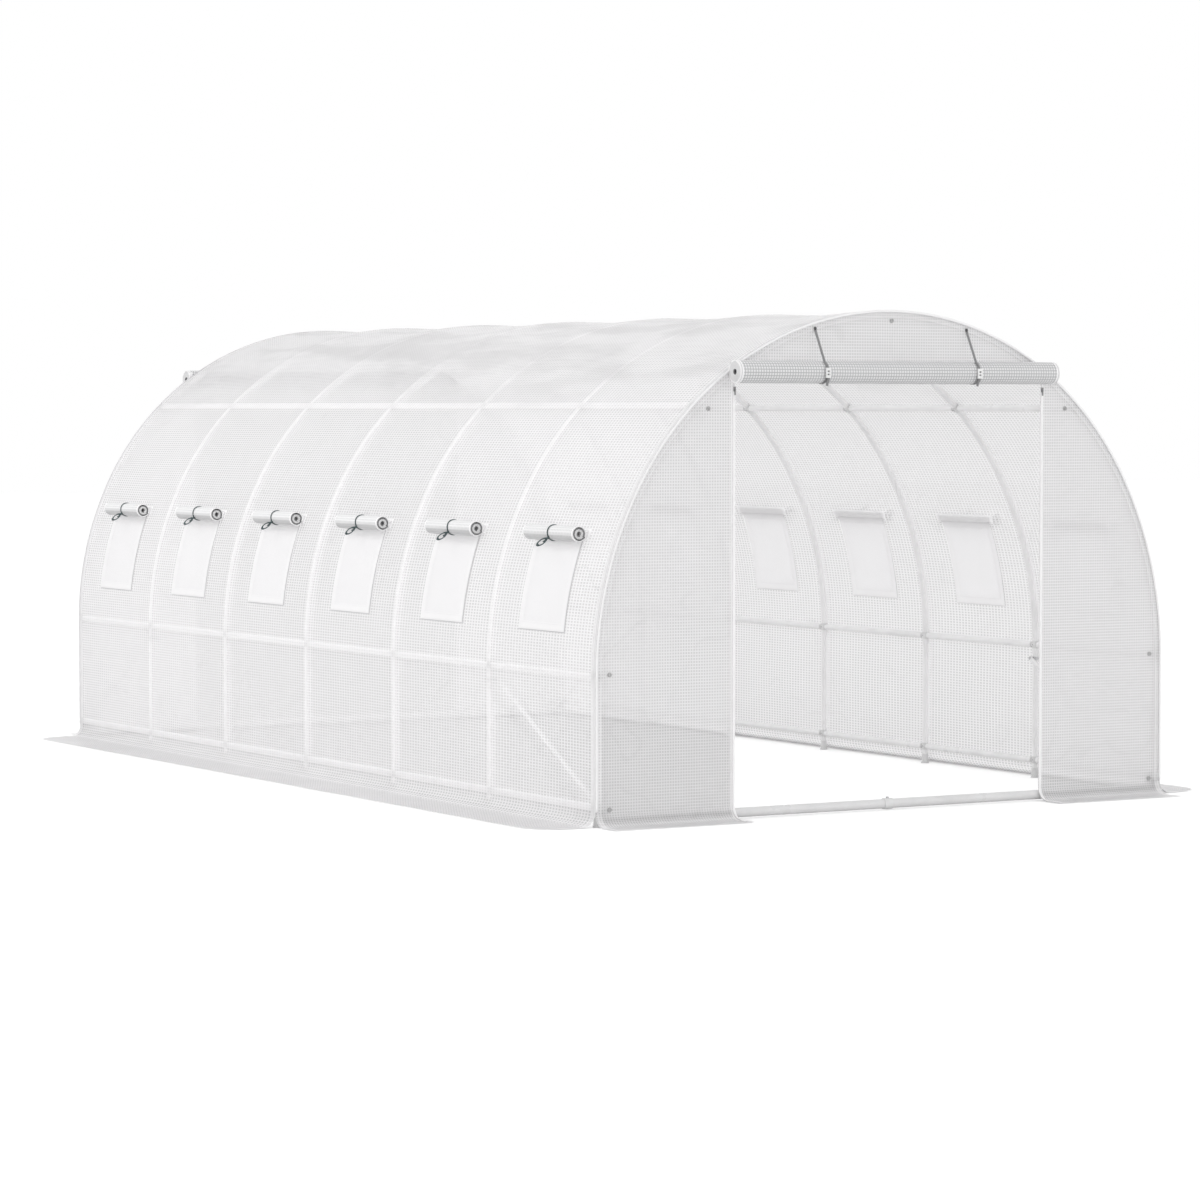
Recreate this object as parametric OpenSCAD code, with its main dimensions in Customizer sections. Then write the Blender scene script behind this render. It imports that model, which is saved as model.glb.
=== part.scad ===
// Walk-in polytunnel: seven tube hoops under a reinforced film cover,
// with roll-up windows along both sides and a roll-up door at each end.
// Origin on the ground at the middle of the tunnel. +Y runs to the rear end, +X across, +Z up.

/* [Overall] */
// Length between the two end hoops, centre to centre
tunnel_len = 5500; // [4600:10:6600]
// Width between the centres of the left and right legs
leg_span = 2975; // [2600:5:3300]
// Height of a hoop's centre line at the crown
crown_h = 2185; // [2100:5:2500]

/* [Hoops] */
// Rise of the arch from the top of the straight legs to the crown
arch_rise = 1545; // [1480:5:1640]
// Angle that the shoulder bend sweeps before the roof bend takes over
shoulder_sweep = 30; // [22:1:36]
// Outside diameter of the arch tube
arch_d = 30; // [26:0.5:36]
// Wall of the arch tube where the leg slides in
arch_wall = 2.2; // [1.5:0.1:3]
// Length of the swaged end that joins a shoulder tube to the roof tube
swage_len = 45; // [25:1:80]
// How far the arch tube reaches down below the shoulder bend
arch_drop = 42; // [30:1:60]
// Depth of the socket that takes the leg
leg_socket = 41; // [25:1:55]

/* [Purlins and rails] */
// Outside diameter of the purlins and base rails
purlin_d = 30; // [26:0.5:36]
// Diameter of the spigots that the purlins push onto
spigot_d = 21; // [14:0.5:24]
// Length of a spigot beyond its collar
spigot_len = 45; // [25:1:80]
// Spigot left bare between the collar and the purlin's end
purlin_gap = 7; // [3:0.5:20]
// Wall of a collar around its tube
collar_wall = 2.2; // [1.5:0.1:4]
// Height of a collar along its tube
collar_h = 34; // [26:1:44]
// Place of the upper purlins round the roof bend, in degrees from the horizontal
upper_purlin_angle = 46; // [40:1:60]

/* [Feet, sills and braces] */
// Wall of a foot cap
cap_wall = 3; // [2:0.5:5]
// Height of a foot cap
cap_h = 46; // [40:1:60]
// Diameter of the flat flange under a foot cap
flange_d = 40; // [37:1:60]
// Thickness of the flange
flange_t = 6; // [3:0.5:12]
// Outside diameter of the door sill tubes
sill_d = 42; // [36:1:50]
// Height of the sill's centre line
sill_h = 27; // [26:0.5:32]
// Length of the sleeve that joins the two sill halves
sill_sleeve_len = 46; // [30:1:90]
// Diameter of the diagonal braces
brace_d = 19; // [14:0.5:24]
// Drop from the end of the arch tube to the middle of a brace's upper clip
brace_top_gap = 23; // [10:1:80]
// Height of the brace clip rings
clip_h = 14; // [10:1:16]

/* [Film cover] */
// Thickness of the film cover as modelled
film_t = 3; // [2:0.5:5]
// Radius at which the skirts turn out onto the ground
skirt_bend = 58; // [40:1:90]
// Reach of the side skirts from the wall
side_skirt_out = 285; // [150:5:400]
// Reach of the end skirts from the end panel
end_skirt_out = 165; // [130:5:300]
// Width of the white band round the edge of an end panel
edge_band = 14; // [8:1:24]

/* [Doorways] */
// From the centre of a leg to the edge of the doorway
door_side = 674.5; // [600:0.5:880]
// Drop from the crown to the centre of the rolled door
door_roll_drop = 254; // [230:1:320]
// Diameter of the rolled door
door_roll_d = 101; // [80:1:130]
// Length of the rolled door past the doorway, at each side
door_roll_past = 32; // [10:1:60]
// Width of the zip tapes
zip_w = 11; // [8:1:20]
// Width of the door straps
strap_w = 12; // [8:1:30]
// Spacing between the two door straps
strap_gap = 805; // [500:5:1000]
// Drop from the crown to where the straps are sewn to the gable
strap_top_drop = 57; // [45:1:100]

/* [Windows] */
// Width of a window along the tunnel
window_w = 400; // [250:5:560]
// Rise from the top of the legs to a window's lower edge
window_rise = 175; // [100:5:250]
// Height of a window
window_tall = 407; // [300:1:465]
// Width of the hem round a window's screen
hem_w = 34; // [15:1:60]
// How far the hem stands proud of the film
hem_rise = 1.5; // [0.5:0.1:2]
// Diameter of a rolled window flap
flap_roll_d = 72; // [50:1:90]
// Length of a rolled flap past the window, at each side
flap_past = 18; // [5:1:60]
// Thickness of the tie cords
tie_d = 6; // [4:0.5:9]

/* [Hidden] */
bays = 6;
hoops = bays + 1;
fit = 0.3;
bay = tunnel_len / bays;
leg_x = leg_span / 2;
leg_h = crown_h - arch_rise;
leg_d = arch_d - 2 * arch_wall - 2 * fit;
swage_d = leg_d;
bend_gap = (crown_h - leg_h - leg_x) / (sin(shoulder_sweep) + cos(shoulder_sweep) - 1);
roof_r = leg_x - bend_gap * (1 - cos(shoulder_sweep));
shoulder_r = roof_r + bend_gap;
shoulder_cx = leg_x - shoulder_r;
roof_cz = crown_h - roof_r;
bend_meet_h = leg_h + shoulder_r * sin(shoulder_sweep);
arch_low = leg_h - arch_drop;
socket_depth = min(leg_socket, arch_drop - 1);
leg_top = arch_low + socket_depth;
collar_d = arch_d + 2 * fit + 2 * collar_wall;
leg_collar_d = leg_d + 2 * fit + 2 * collar_wall;
cap_d = leg_d + 2 * fit + 2 * cap_wall;
cap_floor = flange_t;
leg_low = cap_floor + fit;
mid_purlin_angle = 0;
brace_top_h = arch_low - brace_top_gap;
brace_x = leg_x - max(purlin_d, leg_collar_d) / 2 - brace_d / 2 - 3;
peg_d = 10;
eye_d = brace_d + 3;
eye_t = 8;
clip_low_h = max(cap_h + fit + clip_h / 2, sill_h + sill_d / 2 + eye_d / 2 + 1.5);
base_rail_h = clip_low_h + clip_h / 2 + fit + collar_h / 2;
brace_run = bay;
brace_rise = brace_top_h - clip_low_h;
brace_len = sqrt(brace_run * brace_run + brace_rise * brace_rise);
brace_tilt = atan2(brace_rise, brace_run);
sill_spigot_d = sill_d - 12;
sill_spigot_len = 40;
film_in = collar_d / 2 + fit;
film_out = film_in + film_t;
film_low = film_t + skirt_bend;
cover_len = tunnel_len + 2 * film_in;
end_y = cover_len / 2;
end_face_y = end_y + film_t;
door_w = leg_span - 2 * door_side;
door_x = door_w / 2;
door_roll_h = crown_h - door_roll_drop;
door_top_h = door_roll_h - 20;
zip_top_h = door_roll_h - door_roll_d / 2 - 12;
door_roll_y = end_face_y + fit + door_roll_d / 2;
door_roll_len = door_w + 2 * door_roll_past;
roll_rim = 14;
flap_off = film_out + fit + flap_roll_d / 2;
window_low_h = leg_h + window_rise;
window_top_h = window_low_h + window_tall;
flap_lift = 14;
flap_h = window_top_h + flap_lift;
flap_angle = asin((flap_h - leg_h) / (shoulder_r + flap_off));
flap_len = window_w + 2 * flap_past;
strap_t = 2;
strap_r = door_roll_d / 2 + fit + strap_t;
strap_top_h = crown_h - strap_top_drop;
strap_drop = strap_top_h - door_roll_h;
strap_reach = door_roll_y - end_face_y - fit;
strap_tangent = atan2(strap_drop, -strap_reach) - acos(strap_r / norm([strap_reach, strap_drop]));
fastener_d = 20;
fastener_inset = 48;
zip_t = 3;
big = 8000;
big_fn = 300;
tube_fn = 48;

// Place of hoop n along the tunnel, 1 at the front
function hoop_y(n) = -tunnel_len / 2 + (n - 1) * bay;

// Rear edge of bay n's width of film; the outer edges lie past the end hoops
function film_y(n) = n == 0 ? -end_y : n == bays ? end_y : hoop_y(n + 1);

// A bent bar in the XY plane, from angle a0 to a1 on radius r
module bent_bar(r, a0, a1, d) {
  rotate([0, 0, a0])
    rotate_extrude(angle = a1 - a0, $fn = big_fn)
      translate([r, 0])
        circle(d = d, $fn = tube_fn);
}

// Both sides of the tunnel
module each_side() {
  children();
  mirror([1, 0, 0]) children();
}

// Both ends of the tunnel
module each_end() {
  children();
  mirror([0, 1, 0]) children();
}

// A place on the shoulder bend, its local Z along the tube
module on_shoulder(angle, off = 0) {
  translate([shoulder_cx, 0, leg_h])
    rotate([0, -angle, 0])
      translate([shoulder_r + off, 0, 0])
        children();
}

// A place on the roof bend, its local Z along the tube
module on_roof(angle, off = 0) {
  translate([0, 0, roof_cz])
    rotate([0, -angle, 0])
      translate([roof_r + off, 0, 0])
        children();
}

// An arc of the roof bend, laid in from the joint with a shoulder tube
module joint_bar(back, reach, d) {
  step = 180 / PI / roof_r;
  translate([0, 0, roof_cz])
    rotate([90, 0, 0])
      bent_bar(roof_r, shoulder_sweep - back * step, shoulder_sweep + reach * step, d);
}

// A shoulder bend with its straight sleeve, bored for the leg, and its swaged upper end
module shoulder_tube() {
  joint_bar(12, swage_len, swage_d);
  difference() {
    union() {
      translate([leg_x, 0, leg_h])
        rotate([90, 0, 0])
          translate([-shoulder_r, 0])
            bent_bar(shoulder_r, 0, shoulder_sweep, arch_d);
      translate([leg_x, 0, arch_low])
        cylinder(d = arch_d, h = arch_drop, $fn = tube_fn);
    }
    translate([leg_x, 0, arch_low - 1])
      cylinder(d = leg_d + 2 * fit, h = socket_depth + fit + 1, $fn = tube_fn);
  }
}

// One arch: a roof tube pushed onto the swaged ends of two shoulder tubes
module hoop(n) {
  seam = fit / roof_r * 180 / PI;
  color("white")
    translate([0, hoop_y(n), 0]) {
      difference() {
        translate([0, 0, roof_cz])
          rotate([90, 0, 0])
            bent_bar(roof_r, shoulder_sweep + seam, 180 - shoulder_sweep - seam, arch_d);
        each_side()
          joint_bar(fit, swage_len + fit, swage_d + 2 * fit);
      }
      each_side()
        shoulder_tube();
    }
}

module lower_legs() {
  color("white")
    each_side()
      for (n = [1:hoops])
        translate([leg_x, hoop_y(n), leg_low])
          cylinder(d = leg_d, h = leg_top - leg_low, $fn = tube_fn);
}

// A cup with a flat flange; the end ones carry a spigot for the sill
module foot_cap(with_spigot) {
  difference() {
    union() {
      cylinder(d = flange_d, h = flange_t, $fn = tube_fn);
      cylinder(d = cap_d, h = cap_h, $fn = tube_fn);
      if (with_spigot)
        translate([0, 0, sill_h])
          rotate([0, -90, 0])
            cylinder(d = sill_spigot_d, h = cap_d / 2 + sill_spigot_len, $fn = tube_fn);
    }
    translate([0, 0, cap_floor])
      cylinder(d = leg_d + 2 * fit, h = cap_h, $fn = tube_fn);
  }
}

module foot_caps() {
  color("whitesmoke")
    each_side()
      for (n = [1:hoops])
        translate([leg_x, hoop_y(n), 0])
          foot_cap(n == 1 || n == hoops);
}

// A collar round a tube with a spigot towards each neighbouring hoop
module purlin_collar(n, tube, outer) {
  difference() {
    union() {
      translate([0, 0, -collar_h / 2])
        cylinder(d = outer, h = collar_h, $fn = tube_fn);
      if (n < hoops)
        rotate([-90, 0, 0])
          cylinder(d = spigot_d, h = outer / 2 + spigot_len, $fn = tube_fn);
      if (n > 1)
        rotate([90, 0, 0])
          cylinder(d = spigot_d, h = outer / 2 + spigot_len, $fn = tube_fn);
    }
    translate([0, 0, -collar_h])
      cylinder(d = tube + 2 * fit, h = 2 * collar_h, $fn = tube_fn);
  }
}

module middle_collars() {
  color("whitesmoke")
    each_side()
      for (n = [1:hoops])
        translate([0, hoop_y(n), 0])
          on_shoulder(mid_purlin_angle)
            purlin_collar(n, arch_d, collar_d);
}

module upper_collars() {
  color("whitesmoke")
    each_side()
      for (n = [1:hoops])
        translate([0, hoop_y(n), 0])
          on_roof(upper_purlin_angle)
            purlin_collar(n, arch_d, collar_d);
}

module base_collars() {
  color("whitesmoke")
    each_side()
      for (n = [1:hoops])
        translate([leg_x, hoop_y(n), base_rail_h])
          purlin_collar(n, leg_d, leg_collar_d);
}

// A row of tubes, one per bay, each bored at both ends for the spigots
module purlin_row(collar) {
  reach = collar / 2 + purlin_gap;
  bore = spigot_len - purlin_gap + fit;
  for (n = [1:bays])
    translate([0, hoop_y(n) + reach, 0])
      rotate([-90, 0, 0])
        difference() {
          cylinder(d = purlin_d, h = bay - 2 * reach, $fn = tube_fn);
          translate([0, 0, -1])
            cylinder(d = spigot_d + 2 * fit, h = bore + 1, $fn = tube_fn);
          translate([0, 0, bay - 2 * reach - bore])
            cylinder(d = spigot_d + 2 * fit, h = bore + 1, $fn = tube_fn);
        }
}

module middle_purlins() {
  color("white")
    each_side()
      on_shoulder(mid_purlin_angle)
        purlin_row(collar_d);
}

module upper_purlins() {
  color("white")
    each_side()
      on_roof(upper_purlin_angle)
        purlin_row(collar_d);
}

module base_rails() {
  color("white")
    each_side()
      translate([leg_x, 0, base_rail_h])
        purlin_row(leg_collar_d);
}

// Two halves across each doorway, bored for the foot spigots
module door_sills() {
  reach = leg_x - flange_d / 2 - fit;
  color("white")
    each_end()
      each_side()
        translate([fit / 2, -tunnel_len / 2, sill_h])
          rotate([0, 90, 0])
            difference() {
              cylinder(d = sill_d, h = reach - fit / 2, $fn = tube_fn);
              translate([0, 0, reach - sill_spigot_len])
                cylinder(d = sill_spigot_d + 2 * fit, h = sill_spigot_len + 1, $fn = tube_fn);
              translate([sill_d, 0, 0])
                rotate([0, -90, 0])
                  cylinder(d = 8 + 2 * fit, h = 2 * sill_d, $fn = tube_fn);
            }
}

module sill_sleeves() {
  color("whitesmoke")
    each_end()
      translate([-sill_sleeve_len / 2, -tunnel_len / 2, sill_h])
        rotate([0, 90, 0])
          difference() {
            cylinder(d = sill_d + 2 * fit + 6, h = sill_sleeve_len, $fn = tube_fn);
            translate([0, 0, -1])
              cylinder(d = sill_d + 2 * fit, h = sill_sleeve_len + 2, $fn = tube_fn);
            translate([sill_d, 0, sill_sleeve_len / 2])
              rotate([0, -90, 0])
                cylinder(d = 8 + 2 * fit, h = 2 * sill_d, $fn = tube_fn);
          }
}

module sill_bolts() {
  sleeve_r = sill_d / 2 + fit + 3;
  color("silver")
    each_end()
      translate([0, -tunnel_len / 2, sill_h]) {
        translate([0, 0, -sleeve_r - 1])
          cylinder(d = 8, h = 2 * sleeve_r + 2, $fn = tube_fn);
        translate([0, 0, sleeve_r + 0.5])
          cylinder(d = 15, h = 6, $fn = 6);
      }
}

// A tube with a flat eye at each end, from the end foot up to the second leg
module braces() {
  color("white")
    each_end()
      each_side()
        translate([brace_x, -tunnel_len / 2, clip_low_h])
          rotate([brace_tilt, 0, 0])
            difference() {
              union() {
                translate([0, eye_d / 2 - 2, 0])
                  rotate([-90, 0, 0])
                    cylinder(d = brace_d, h = brace_len - eye_d + 4, $fn = tube_fn);
                for (y = [0, brace_len])
                  translate([-eye_t / 2, y, 0])
                    rotate([0, 90, 0])
                      cylinder(d = eye_d, h = eye_t, $fn = tube_fn);
              }
              for (y = [0, brace_len])
                translate([-brace_d, y, 0])
                  rotate([0, 90, 0])
                    cylinder(d = peg_d + 2 * fit, h = 2 * brace_d, $fn = tube_fn);
            }
}

// A ring round the leg with a peg for the brace's eye
module brace_clip() {
  reach = leg_x - brace_x + eye_t / 2 + fit;
  difference() {
    union() {
      translate([0, 0, -clip_h / 2])
        cylinder(d = leg_collar_d, h = clip_h, $fn = tube_fn);
      rotate([0, -90, 0])
        cylinder(d = peg_d, h = reach + 1, $fn = tube_fn);
      translate([-reach, 0, 0])
        rotate([0, -90, 0])
          cylinder(d = peg_d + 6, h = 3, $fn = 6);
    }
    translate([0, 0, -clip_h])
      cylinder(d = leg_d + 2 * fit, h = 2 * clip_h, $fn = tube_fn);
  }
}

module brace_clips() {
  color("silver")
    each_end()
      each_side() {
        translate([leg_x, -tunnel_len / 2, clip_low_h])
          brace_clip();
        translate([leg_x, -tunnel_len / 2 + bay, brace_top_h])
          brace_clip();
      }
}

// The hoop's outline in the XZ plane, grown outwards by off
module outline(off) {
  intersection() {
    translate([0, roof_cz])
      circle(r = roof_r + off, $fn = big_fn);
    translate([-big / 2, bend_meet_h + off * sin(shoulder_sweep)])
      square([big, big]);
  }
  intersection() {
    for (side = [0, 1])
      mirror([side, 0])
        intersection() {
          translate([shoulder_cx, leg_h])
            circle(r = shoulder_r + off, $fn = big_fn);
          translate([0, leg_h])
            square([big, big]);
        }
    translate([-big / 2, leg_h])
      square([big, bend_meet_h + off * sin(shoulder_sweep) - leg_h]);
  }
  translate([-leg_x - off, 0])
    square([2 * (leg_x + off), leg_h]);
}

// The film's closed shell in the XZ plane, between two offsets from the hoop
module shell(inner, outer) {
  difference() {
    outline(outer);
    outline(inner);
    translate([-big / 2, -1])
      square([big, film_low + 1]);
  }
}

// An XZ profile drawn out along the tunnel over length len
module along(len) {
  translate([0, len / 2, 0])
    rotate([90, 0, 0])
      linear_extrude(height = len)
        children();
}

// The opening for the right-hand window of bay n, smaller by gap at each edge
module window_block(n, gap) {
  translate([0, hoop_y(n) + bay / 2 - window_w / 2 + gap, window_low_h + gap])
    cube([big, window_w - 2 * gap, window_top_h - window_low_h - 2 * gap]);
}

module wall_film() {
  color("white", 0.6)
    translate([leg_x + film_in, -end_y, film_low])
      cube([film_t, cover_len, leg_h - film_low]);
}

// The film round the shoulder, one width to a bay, sewn to the next over each hoop
module window_film() {
  color("white", 0.6)
    for (n = [1:bays])
      difference() {
        translate([0, film_y(n), 0])
          rotate([90, 0, 0])
            linear_extrude(height = film_y(n) - film_y(n - 1) - (n > 1 ? fit : 0))
              intersection() {
                difference() {
                  translate([shoulder_cx, leg_h])
                    circle(r = shoulder_r + film_out, $fn = big_fn);
                  translate([shoulder_cx, leg_h])
                    circle(r = shoulder_r + film_in, $fn = big_fn);
                }
                translate([0, leg_h])
                  square([big, big]);
                translate([shoulder_cx, leg_h])
                  polygon([[0, 0], [big, 0], [big * cos(shoulder_sweep), big * sin(shoulder_sweep)]]);
              }
        window_block(n, 0);
      }
}

module roof_film() {
  color("white", 0.6)
    translate([0, end_y, roof_cz])
      rotate([90, 0, 0])
        linear_extrude(height = cover_len)
          intersection() {
            difference() {
              circle(r = roof_r + film_out, $fn = big_fn);
              circle(r = roof_r + film_in, $fn = big_fn);
            }
            polygon([
              [0, 0],
              [big * cos(shoulder_sweep), big * sin(shoulder_sweep)],
              [big * cos(shoulder_sweep), big],
              [0, big]
            ]);
          }
}

// A film's lower edge in section: down, round the bend and out over the ground.
// x runs outwards from the film's inner face
module skirt_section(out) {
  intersection() {
    difference() {
      translate([film_t + skirt_bend, film_low])
        circle(r = skirt_bend + film_t, $fn = 120);
      translate([film_t + skirt_bend, film_low])
        circle(r = skirt_bend, $fn = 120);
    }
    square([film_t + skirt_bend, film_low]);
  }
  translate([film_t + skirt_bend, 0])
    square([out - skirt_bend - film_t, film_t]);
}

module side_skirt() {
  color("white", 0.6)
    translate([leg_x + film_in, end_y, 0])
      rotate([90, 0, 0])
        linear_extrude(height = cover_len)
          skirt_section(side_skirt_out);
}

// The part of a front panel right of the doorway, with its own skirt
module side_panel() {
  color("white", 0.6) {
    translate([0, -end_y, 0])
      rotate([90, 0, 0])
        linear_extrude(height = film_t)
          intersection() {
            outline(film_out);
            translate([door_x, film_low])
              square([big, big]);
          }
    translate([leg_x + film_out, -end_y, 0])
      rotate([0, 0, -90])
        rotate([90, 0, 0])
          linear_extrude(height = leg_x + film_out - door_x)
            skirt_section(end_skirt_out);
  }
}

module gable() {
  color("white", 0.6)
    translate([0, -end_y, 0])
      rotate([90, 0, 0])
        linear_extrude(height = film_t)
          intersection() {
            outline(film_out);
            translate([-door_x, door_top_h])
              square([2 * door_x, big]);
          }
}

module edge_bands() {
  color("white")
    each_end()
      translate([0, -end_face_y - fit, 0])
        rotate([90, 0, 0])
          linear_extrude(height = 2)
            shell(film_out - edge_band, film_out);
}

// A curved plate on the shoulder bend, filling the window of bay n between two offsets
module window_plate(n, low, high, gap) {
  intersection() {
    translate([0, hoop_y(n) + bay / 2 + window_w / 2, 0])
      rotate([90, 0, 0])
        linear_extrude(height = window_w)
          intersection() {
            translate([shoulder_cx, leg_h])
              difference() {
                circle(r = shoulder_r + high, $fn = big_fn);
                circle(r = shoulder_r + low, $fn = big_fn);
              }
            translate([0, leg_h])
              square([big, big]);
          }
    window_block(n, gap);
  }
}

// Fine screens in the windows, each in a hem that stands proud of the film
module window_screens() {
  color("white", 0.8)
    each_side()
      for (n = [1:bays])
        difference() {
          window_plate(n, film_in, film_out + hem_rise, fit);
          window_plate(n, film_in + 0.7 * film_t, film_out + hem_rise + 1, hem_w);
          window_plate(n, film_in - 1, film_in + 0.3 * film_t, hem_w);
        }
}

module window_rolls() {
  color("white")
    each_side()
      for (n = [1:bays])
        translate([0, hoop_y(n) + bay / 2 - flap_len / 2, 0])
          on_shoulder(flap_angle, flap_off)
            rotate([-90, 0, 0])
              difference() {
                cylinder(d = flap_roll_d, h = flap_len, $fn = 64);
                translate([0, 0, -1])
                  cylinder(d = 12, h = 21, $fn = 32);
                translate([0, 0, flap_len - 20])
                  cylinder(d = 12, h = 21, $fn = 32);
              }
}

// A cord round the outer side of each rolled flap, with its knot
module window_ties() {
  ring_r = flap_roll_d / 2 + fit + tie_d / 2;
  gap_angle = 42;
  color("darkslategray")
    each_side()
      for (n = [1:bays])
        translate([0, hoop_y(n) + bay / 2, 0])
          on_shoulder(flap_angle, flap_off)
            rotate([90, 0, 0]) {
              bent_bar(ring_r, gap_angle - 180, 180 - gap_angle, tie_d);
              rotate([0, 0, -20])
                translate([ring_r + 1.6 * tie_d + fit, 0, 0])
                  sphere(d = 2.2 * tie_d, $fn = 32);
            }
}

module door_rolls() {
  color("white")
    each_end()
      translate([-door_roll_len / 2, -door_roll_y, door_roll_h])
        rotate([0, 90, 0])
          difference() {
            cylinder(d = door_roll_d, h = door_roll_len, $fn = 96);
            translate([0, 0, -1])
              cylinder(d = 16, h = 31, $fn = 32);
            translate([0, 0, door_roll_len - 30])
              cylinder(d = 16, h = 31, $fn = 32);
          }
}

// A strap in section, from the gable over the roll's front and back below it.
// x runs outwards from the gable, y up from the roll's centre
module strap_section() {
  inner = strap_r - strap_t;
  difference() {
    intersection() {
      circle(r = strap_r, $fn = 96);
      union() {
        translate([0, -big])
          square([big, big]);
        polygon([[0, 0], [big, 0], [big, big], [big * cos(strap_tangent + 3), big * sin(strap_tangent + 3)]]);
        translate([-big, -big])
          square([big, big]);
      }
    }
    circle(r = inner, $fn = 96);
    translate([-big - strap_reach, -big])
      square([big, 2 * big]);
  }
  polygon([
    [inner * cos(strap_tangent), inner * sin(strap_tangent)],
    [strap_r * cos(strap_tangent), strap_r * sin(strap_tangent)],
    [-strap_reach + strap_t, strap_drop],
    [-strap_reach, strap_drop]
  ]);
}

module door_straps() {
  color("gray")
    each_end()
      each_side()
        translate([strap_gap / 2 + strap_w / 2, -door_roll_y, door_roll_h])
          rotate([0, 0, -90])
            rotate([90, 0, 0])
              linear_extrude(height = strap_w)
                strap_section();
}

module strap_buckles() {
  wide = 2 * strap_w;
  color("white")
    each_end()
      each_side()
        translate([strap_gap / 2 - wide / 2, -door_roll_y - strap_r - fit - 6, door_roll_h - 26])
          difference() {
            cube([wide, 6, 44]);
            translate([(wide - strap_w) / 2, -1, 26])
              cube([strap_w, 8, 6]);
            translate([(wide - strap_w) / 2, -1, 12])
              cube([strap_w, 8, 6]);
          }
}

// A tape along the doorway's edge in section, outside the film
module zip_section() {
  translate([film_t + fit, film_low])
    square([zip_t, zip_top_h - film_low]);
  intersection() {
    difference() {
      translate([film_t + skirt_bend, film_low])
        circle(r = skirt_bend - fit, $fn = 120);
      translate([film_t + skirt_bend, film_low])
        circle(r = skirt_bend - fit - zip_t, $fn = 120);
    }
    square([film_t + skirt_bend, film_low]);
  }
  translate([film_t + skirt_bend, film_t + fit])
    square([end_skirt_out - skirt_bend - film_t, zip_t]);
}

module door_zips() {
  color("white")
    each_end()
      each_side()
        translate([door_x + zip_w, -end_y, 0])
          rotate([0, 0, -90])
            rotate([90, 0, 0])
              linear_extrude(height = zip_w)
                zip_section();
}

module zip_sliders() {
  color("dimgray")
    each_end()
      each_side()
        translate([door_x + zip_w / 2, -end_face_y - 2 * fit - zip_t, zip_top_h - 22]) {
          translate([-5, -5, 0])
            cube([10, 5, 20]);
          translate([-3, -7, -16])
            cube([6, 2, 24]);
        }
}

// Seven toggles fix each end panel to its hoop
module end_fasteners() {
  high = crown_h + film_out - fastener_inset;
  color("gray")
    each_end() {
      translate([0, 0, high])
        fastener();
      each_side() {
        translate([leg_x - fastener_inset, 0, film_low + fastener_d / 2 + 2])
          fastener();
        translate([leg_x - fastener_inset, 0, leg_h + 7])
          fastener();
        translate([0, 0, roof_cz])
          rotate([0, -upper_purlin_angle - 2, 0])
            translate([roof_r - fastener_inset, 0, 0])
              fastener();
      }
    }
}

module fastener() {
  translate([0, -end_face_y - fit, 0])
    rotate([90, 0, 0]) {
      difference() {
        cylinder(d = fastener_d, h = 3, $fn = 32);
        translate([0, 0, -1])
          cylinder(d = fastener_d - 8, h = 5, $fn = 32);
      }
      translate([-fastener_d / 2 + 1, -2, 0])
        cube([fastener_d - 2, 4, 5]);
    }
}

hoop(1);  // hoop_1
hoop(2);  // hoop_2
hoop(3);  // hoop_3
hoop(4);  // hoop_4
hoop(5);  // hoop_5
hoop(6);  // hoop_6
hoop(7);  // hoop_7
lower_legs();
foot_caps();
middle_collars();
upper_collars();
base_collars();
middle_purlins();
upper_purlins();
base_rails();
door_sills();
sill_sleeves();
sill_bolts();
braces();
brace_clips();
mirror([1, 0, 0]) wall_film();  // left_wall_film
wall_film();  // right_wall_film
mirror([1, 0, 0]) window_film();  // left_window_film
window_film();  // right_window_film
mirror([1, 0, 0]) roof_film();  // left_roof_film
roof_film();  // right_roof_film
mirror([1, 0, 0]) side_skirt();  // left_skirt
side_skirt();  // right_skirt
mirror([1, 0, 0]) side_panel();  // front_left_panel
side_panel();  // front_right_panel
gable();  // front_gable
rotate([0, 0, 180]) side_panel();  // rear_left_panel
mirror([0, 1, 0]) side_panel();  // rear_right_panel
mirror([0, 1, 0]) gable();  // rear_gable
edge_bands();
window_screens();
window_rolls();
window_ties();
door_rolls();
door_straps();
strap_buckles();
door_zips();
zip_sliders();
end_fasteners();
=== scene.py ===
"""Dresses the walk-in polytunnel: film, screens, rolled flaps and doors, fixings, finishes and studio."""

import math

import bmesh
import bpy
from bpy.props import FloatProperty, FloatVectorProperty, PointerProperty
from mathutils import Matrix, Vector, noise


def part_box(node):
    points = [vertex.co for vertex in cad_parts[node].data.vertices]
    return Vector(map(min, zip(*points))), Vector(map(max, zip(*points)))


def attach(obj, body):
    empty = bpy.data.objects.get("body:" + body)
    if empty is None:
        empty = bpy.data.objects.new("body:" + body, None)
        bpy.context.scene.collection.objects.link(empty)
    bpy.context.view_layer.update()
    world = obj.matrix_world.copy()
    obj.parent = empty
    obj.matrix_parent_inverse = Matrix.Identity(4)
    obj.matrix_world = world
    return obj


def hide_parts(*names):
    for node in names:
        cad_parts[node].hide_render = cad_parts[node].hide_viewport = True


bl_info = {
    "name": "Polytunnel Greenhouse Dressing",
    "version": (1, 0, 0),
    "blender": (4, 5, 0),
    "location": "3D View > Sidebar > Tunnel",
    "description": "Makes the film, screens, rolls, fixings and finishes of a walk-in polytunnel",
    "category": "Object",
}

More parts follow.
